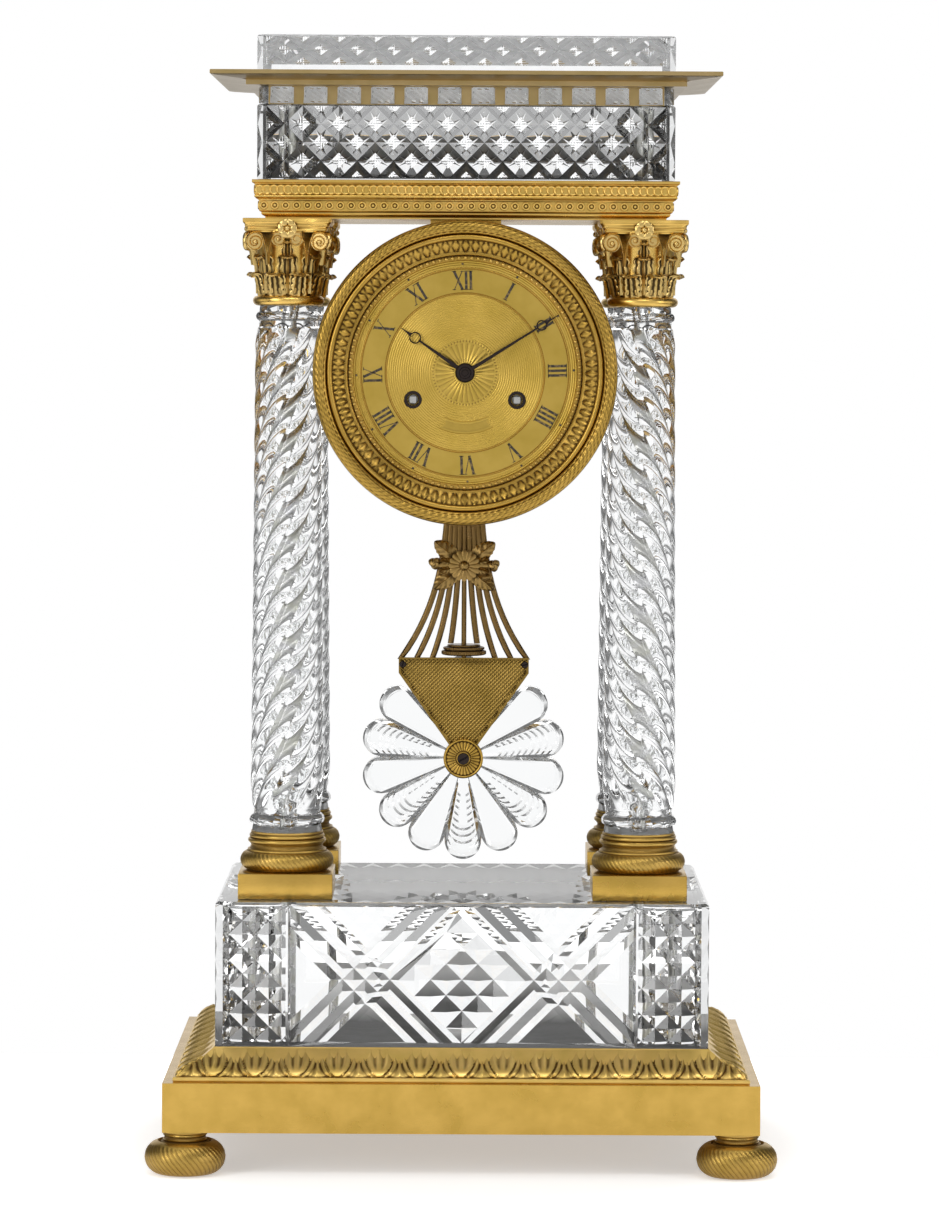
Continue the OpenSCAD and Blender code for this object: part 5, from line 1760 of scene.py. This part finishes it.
def serrated_leaf(long, wide):
    def place(u, v):
        side = 2 * u - 1
        teeth = 1 - 0.13 * triangle_wave(v * 7) * smooth_step(0.5, 1.0, abs(side))
        half = wide / 2 * math.sin(math.pi * min(1, 0.16 + 0.84 * v) ** 1.15) ** 0.62 * teeth
        veins = 0.5 * abs(math.sin((v * 5 - abs(side) * 1.2) * math.pi)) * abs(side)
        rise = 2.2 - 1.3 * abs(side) ** 1.5 + 0.9 * smooth_step(0.5, 1, v) - veins
        rise += 0.4 * (1 - smooth_step(0, 0.12, abs(side)))
        rise *= 0.45 + 0.55 * smooth_step(0.2, 0.45, v)
        return Vector((4 + long * v, -(MOUNT_BACK + max(0.4, rise)), side * max(0.15, half)))

    return closed_below(bent_sheet(16, 36, place), -MOUNT_BACK)


def rosebud(x, z, size):
    # a round bud, its petals rolled one over the other
    def swirl(angle, r, height):
        return 0.3 * size * (triangle_wave(angle * 3 / TURN + r * 0.35) - 0.8) * smooth_step(0.1, 0.6, r)

    dome = [(size * math.cos(math.pi * k / 48), 0.95 * size * math.sin(math.pi * k / 48)) for k in range(24)]
    bud = turned([(0, 0)] + dome + [(0, 0.95 * size)], 72, swirl)
    return face_forward(bud, (x, -MOUNT_BACK, z))


def flower_mount():
    leaf = serrated_leaf(16.0, 9.6)
    leaves = copied(leaf, [Matrix.Rotation(math.radians(-a), 4, "Y") for a in (37, 141, 218, 321)])
    calyx = serrated_leaf(9.5, 6.2)
    calyxes = copied(calyx, [Matrix.Rotation(math.radians(-a), 4, "Y") for a in (14, 168, 192, 346)])
    stem = block((30, 1.6, 1.8), (0, -(MOUNT_BACK + 0.8), 0), 0.35)
    daisy = moved(flower(16, 1.2, 8.4, 1.2, 2.6), (0, -(MOUNT_BACK + 3.3), 0))
    under = spun(flower(16, 1.6, 7.4, 1.0, 1.5), TURN / 32, "Y")
    moved(under, (0, -(MOUNT_BACK + 2.4), 0))
    buds = [rosebud(-15.3, 1.2, 3.4), rosebud(15.3, 0.2, 3.4)]
    return moved(joined([leaves, calyxes, stem, daisy, under] + buds), (0, 0, MOUNT_Z))


piece("flower_mount", flower_mount(), gilt_brown, "pendulum", stands_for=["floral_mount"],
      smooth=math.radians(45))

# %% Rating nut
def nut_relief(angle, r, z):
    if r > 11.2 and 0.6 < z < 2.2:
        return -0.22 * triangle_wave(angle * 60 / TURN)
    if 10.2 < r < 11.0 and 2.9 < z < 4.2:
        return -0.2 * triangle_wave(angle * 52 / TURN)
    return 0


nut_outline = [(ROD_R + 0.06, 0), (10.4, 0), (11.2, 0.25), (11.65, 0.7), (11.65, 2.1), (11.2, 2.4),
               (10.2, 2.6), (10.2, 2.9), (10.75, 3.1), (10.75, 4.0), (10.2, 4.3), (8.8, 4.4), (8.6, 4.7),
               (8.6, NUT_H - 0.2), (8.3, NUT_H), (ROD_R + 0.06, NUT_H)]
nut = moved(turned(nut_outline + [nut_outline[0]], 240, nut_relief), (0, -PENDULUM_Y, NUT_Z))
piece("layered_nut", nut, rod_brass, "nut", stands_for=["rating_nut"])

# %% Bob plate
BOB_Z = 202.0
BOB_R = 53.5
PLATE_HALF = 33.8
PLATE_FACE = MOUNT_BACK + 2.5
HATCH = 2.1
HATCH_UP = 0.34


def hatch_plate():
    outline = [(PLATE_HALF, 44.5), (PLATE_HALF, BOB_R - 1), (-PLATE_HALF, BOB_R - 1), (-PLATE_HALF, 44.5),
               (-6.7, 6), (6.7, 6)]
    bm = bmesh.new()
    ring = [bm.verts.new((x, -MOUNT_BACK, BOB_Z + z)) for x, z in outline]
    bm.faces.new(ring)
    made = bmesh.ops.extrude_face_region(bm, geom=bm.faces[:])["geom"]
    bmesh.ops.translate(bm, vec=(0, -2.5, 0), verts=[g for g in made if isinstance(g, bmesh.types.BMVert)])
    outward(bm)
    front = [f for f in bm.faces if f.normal.y < -0.9]
    bmesh.ops.inset_region(bm, faces=front, thickness=1.1, depth=0.0)
    bm.normal_update()
    mark = bm.faces.layers.int.new("side")
    inner = min((f for f in bm.faces if f.normal.y < -0.9), key=lambda f: -f.calc_area())
    inner[mark] = 1
    base = Vector((0, -PLATE_FACE, BOB_Z))
    lines = lattice_lines(HATCH, HATCH, 0, 30, 36, 54, diagonals=False)
    scribe(bm, "front", 1, base, lines)
    border = {v for f in bm.faces if f[mark] != 1 for v in f.verts}
    for v in bm.verts:
        if v not in border:
            v.co.y += HATCH_UP
    done = bmesh.ops.poke(bm, faces=[f for f in bm.faces if f[mark] == 1])
    for v in done["verts"]:
        v.co.y -= HATCH_UP
    return bm


SUN_RAYS = 28


def sun_boss():
    steps = [(0.02, 1.7), (3.3, 1.7), (3.8, 1.2), (8.9, 0.9), (9.2, 1.6), (9.9, 1.7), (10.3, 1.2)]
    section = [(r, PLATE_FACE + rise) for r, rise in steps] + [(10.3, MOUNT_BACK)]

    def relief(angle, r, forward):
        if not 4.0 < r < 8.8:
            return 0
        return 0.22 * (triangle_wave(angle * SUN_RAYS / TURN) - 0.3) * smooth_step(4.0, 4.6, r)

    boss = round_sheet(section, SUN_RAYS * 8, 40, relief)
    return outward(moved(filled(welded(boss, 0.05)), (0, 0, BOB_Z)))


rail = block((2 * PLATE_HALF, 2.7, 6), (0, -PENDULUM_Y + 0.05, RAIL_TOP - 3), 0.3)
seat = face_forward(turned([(0, 0), (8, 0), (8, 3.2), (0, 3.2)], 48), (0, -9.14, BOB_Z))
piece("hatched_plate", joined([hatch_plate(), rail, seat]), gilt_shaded, "pendulum", stands_for=["bob_plate"],
      smooth=0)
piece("sun_boss", sun_boss(), gilt_patina_painted_shade, "pendulum")

# %% Slotted screws
def slotted_screw(radius, back, front, slot_wide, lean):
    tall = front - back
    outline = [(0, 0), (radius, 0), (radius, tall - 0.3), (radius - 0.3, tall), (0, tall)]
    head = face_forward(turned(outline, 32), (0, -back, 0))
    mark = head.faces.layers.int.new("side")
    head.normal_update()
    for f in head.faces:
        f[mark] = 1 if f.normal.y < -0.99 else 0
    base = Vector((0, -front, 0))
    half = slot_wide / 2
    scribe(head, "front", 1, base, [(1, 0, s * part) for s in (1, -1) for part in (half, half + 0.03)])
    for v in {v for f in head.faces if f[mark] == 1 for v in f.verts}:
        if abs(v.co.x) < half + 0.01:
            v.co.y += 0.55
    return spun(head, math.radians(lean), "Y")


def pendulum_screws():
    centre = slotted_screw(3.1, PLATE_FACE + 1.6, PLATE_FACE + 3.5, 0.8, 62)
    shank = face_forward(turned([(0, 0), (2, 0), (2, 24), (0, 24)], 24), (0, 7.6, 0))
    nut_outline = [(0, 0), (4.6, 0), (5, 0.4), (5, 2.2), (4.6, 2.6), (0, 2.6)]
    nut_behind = face_forward(turned(nut_outline, 6), (0, 7.47, 0))
    parts = [centre, shank, nut_behind]
    for x, lean in ((-31.7, 20), (31.7, 75)):
        small = slotted_screw(1.8, PLATE_FACE - 0.05, PLATE_FACE + 0.95, 0.5, lean)
        pin = face_forward(turned([(0, 0), (1, 0), (1, 4.5), (0, 4.5)], 16), (0, -10.4, 0))
        parts.append(moved(joined([small, pin]), (x, 0, BOB_R - 4.5)))
    return outward(moved(joined(parts), (0, 0, BOB_Z)))


piece("pendulum_screws", pendulum_screws(), blued_steel, "pendulum", stands_for=["bob_screws"])

# %% Crystal rosette
PETALS = 14
PETAL_STEPS = 20
BOB_FACE = PENDULUM_Y - 1.8
BOB_THICK = 14.0


def petal_edge(angle):
    wedge = TURN / PETALS
    off = (angle + wedge / 2) % wedge - wedge / 2
    reach = 9.5
    middle = BOB_R - reach
    across = middle * math.sin(off)
    return middle * math.cos(off) + math.sqrt(max(0.2, reach * reach - across * across))


def rosette_bob():
    # rows run from the bore over the front to the rim and back again
    fronts = 44
    backs = 12
    rows = fronts + backs + 1
    inner = 2.05

    def place(u, v):
        angle = TURN * u - math.pi / 2
        k = round(v * rows)
        cell = (u * PETALS) % 1.0
        side = abs(cell - round(cell)) * 2
        petal = round(u * PETALS) % PETALS
        edge = petal_edge(TURN * u)
        if k <= fronts:
            t = k / fronts
            r = inner + (edge - inner) * t
            groove = min(1, r / 16) * 3.2 * max(0, side - 0.79) / 0.21
            rim = 2.4 * max(0, t - 0.95) / 0.05
            depth = 0.5 + max(groove, rim)
            ladder = 0.35 < side < 0.75 and t > 0.3 or side < 0.45 and 0.66 < t < 0.86
            if petal % 2 == 0 and ladder and t < 0.93 and k % 3 == 0:
                depth += 0.6
            return Vector((r * math.cos(angle), -(BOB_FACE - depth), r * math.sin(angle)))
        t = (rows - k) / backs
        r = inner + (edge - inner) * min(1, t)
        depth = 0.3 + 1.6 * max(0, t - 0.92) / 0.08
        return Vector((r * math.cos(angle), -(BOB_FACE - BOB_THICK + depth), r * math.sin(angle)))

    bm = bent_sheet(PETALS * PETAL_STEPS, rows, place)
    welded(bm, 0.001)
    bmesh.ops.bridge_loops(bm, edges=rims(bm))
    moved(bm, (0, 0, BOB_Z))
    return close_up(bm, 0.0005)


piece("crystal_rosette", rosette_bob(), crystal, "pendulum", stands_for=["bob_crystal"],
      smooth=math.radians(9))

# %% [markdown]
# ## Drum and movement
# The drum, its hanger, the back door and the whole movement keep the frame's solids, because they are
# turned or sawn shapes that are already right. The drum's parts get softened edges, and each part gets its
# own metal.

# %% Drum and movement
for node in ("drum_case", "drum_hanger", "rear_bezel", "back_door"):
    dress(node, gilt_plain, bevel=0.25)
for node in ("front_plate", "back_plate", "plate_pillars", "suspension_cock", "centre_wheel", "hour_wheel",
             "minute_wheel", "going_barrel", "strike_barrel", "intermediate_wheel", "third_wheel",
             "escape_wheel", "pin_wheel", "fly"):
    dress(node, brass)
for node in ("case_screws", "movement_straps", "bell_stand", "cannon_pinion", "going_winding_arbor",
             "strike_winding_arbor", "anchor", "hammer"):
    dress(node, steel)
dress("bell", bell_metal)

# %% [markdown]
# ## Stage and light
# The clock stands on a pale floor, which glows less close to the clock: a painted shadow round it, over the
# real one. The background is white to the camera, but gold and glass get a room to mirror: white round the
# height of the eye, with a dark band high up and darker ground below, and a broad dark strip on each wall,
# which comes further in behind the clock. Metal and crystal only show their shape where light meets dark.
# Three lamps light the front. A fourth stands behind, and neither gold nor glass shows it.

# %% Floor, world and lamps
FLOOR_WIDE = 1.8
FLOOR_BACK = 0.28
FLOOR_FRONT = -1.3


def floor_material():
    material, tree, shader = new_material("floor_painted_shadow")
    shader.inputs["Roughness"].default_value = 0.9
    place = own_place(tree)
    cloud = noise_node(tree, place, 8.0)
    give(tree, shader.inputs["Base Color"], ramp_node(tree, cloud, [(0.2, grey(0.88)), (0.8, grey(0.9))]))
    rays = tree.nodes.new("ShaderNodeLightPath")
    mirrored = math_node(tree, "MULTIPLY", rays.outputs["Is Glossy Ray"], 0.6)
    seen = math_node(tree, "MAXIMUM", rays.outputs["Is Camera Ray"],
                     math_node(tree, "MAXIMUM", mirrored, rays.outputs["Is Transmission Ray"]))
    shader.inputs["Emission Color"].default_value = WHITE
    spread = tree.nodes.new("ShaderNodeVectorMath")
    spread.operation = "LENGTH"
    tree.links.new(place, spread.inputs[0])
    # the floor glows less within a short reach of the clock: a painted shadow round it, over the real one
    pale = ramp_node(tree, spread.outputs["Value"], [(0.17, grey(0.42)), (0.27, WHITE)])
    give(tree, shader.inputs["Emission Strength"], math_node(tree, "MULTIPLY", seen, pale))
    return material


ground = bmesh.new()
bmesh.ops.create_grid(ground, x_segments=1, y_segments=1, size=0.5)
sized(ground, (FLOOR_WIDE, FLOOR_BACK - FLOOR_FRONT, 1))
moved(ground, (0, (FLOOR_BACK + FLOOR_FRONT) / 2, 0))
floor_mesh = bpy.data.meshes.new("floor")
ground.to_mesh(floor_mesh)
ground.free()
floor_mesh.materials.append(floor_material())
floor = bpy.data.objects.new("floor", floor_mesh)
floor.location.z = -0.0002
scene.collection.objects.link(floor)

world = bpy.data.worlds.new("room")
world.use_nodes = True
scene.world = world
sky = world.node_tree
background = sky.nodes["Background"]
path = sky.nodes.new("ShaderNodeLightPath")
direction = sky.nodes.new("ShaderNodeTexCoord").outputs["Generated"]
parts = split_node(sky, direction)
height_up = math_node(sky, "MULTIPLY_ADD", parts["Z"], 0.5, 0.5)
room = ramp_node(sky, height_up, [(0.31, grey(0.17)), (0.345, grey(0.45)), (0.375, grey(0.45)), (0.41, WHITE),
                                  (0.70, WHITE), (0.76, grey(0.2)), (0.87, grey(0.2)), (0.94, grey(0.9))])
sideways = math_node(sky, "ABSOLUTE", parts["X"])
walls = ramp_node(sky, sideways, [(0.14, grey(0.82)), (0.30, WHITE), (0.60, WHITE), (0.74, grey(0.2)),
                                  (0.90, grey(0.2)), (0.97, WHITE)])
backdrop = ramp_node(sky, sideways, [(0.41, WHITE), (0.53, grey(0.17)), (0.90, grey(0.17)), (0.97, WHITE)])
backwards = math_node(sky, "MULTIPLY_ADD", parts["Y"], 0.5, 0.5)
behind = ramp_node(sky, backwards, [(0.45, BLACK), (0.55, WHITE)])
mirrored = mix_node(sky, 1.0, room, mix_node(sky, behind, walls, backdrop), "MULTIPLY")
give(sky, background.inputs["Color"], mix_node(sky, path.outputs["Is Camera Ray"], mirrored, WHITE))
background.inputs["Strength"].default_value = 1.0


def lamp(name, at, aim, size, watts):
    data = bpy.data.lights.new(name, "AREA")
    data.shape = "RECTANGLE"
    data.size, data.size_y = size
    data.energy = watts
    made = bpy.data.objects.new(name, data)
    towards = (Vector(aim) - Vector(at)).normalized()
    made.matrix_world = Matrix.Translation(at) @ towards.to_track_quat("-Z", "Y").to_matrix().to_4x4()
    scene.collection.objects.link(made)
    return made


MIDDLE = (0, 0, 0.3)
lamp("left_window", (-1.5, -1.5, 1.1), MIDDLE, (0.7, 1.4), 15)
lamp("right_window", (1.9, -1.1, 0.8), MIDDLE, (0.5, 1.3), 8)
lamp("high_front", (0.2, -1.4, 2.0), MIDDLE, (1.2, 0.5), 9)
rear = lamp("rear_window", (0.0, 2.0, 1.3), MIDDLE, (1.4, 1.0), 10)
rear.visible_glossy = False
rear.visible_transmission = False
print("stage and four lamps")
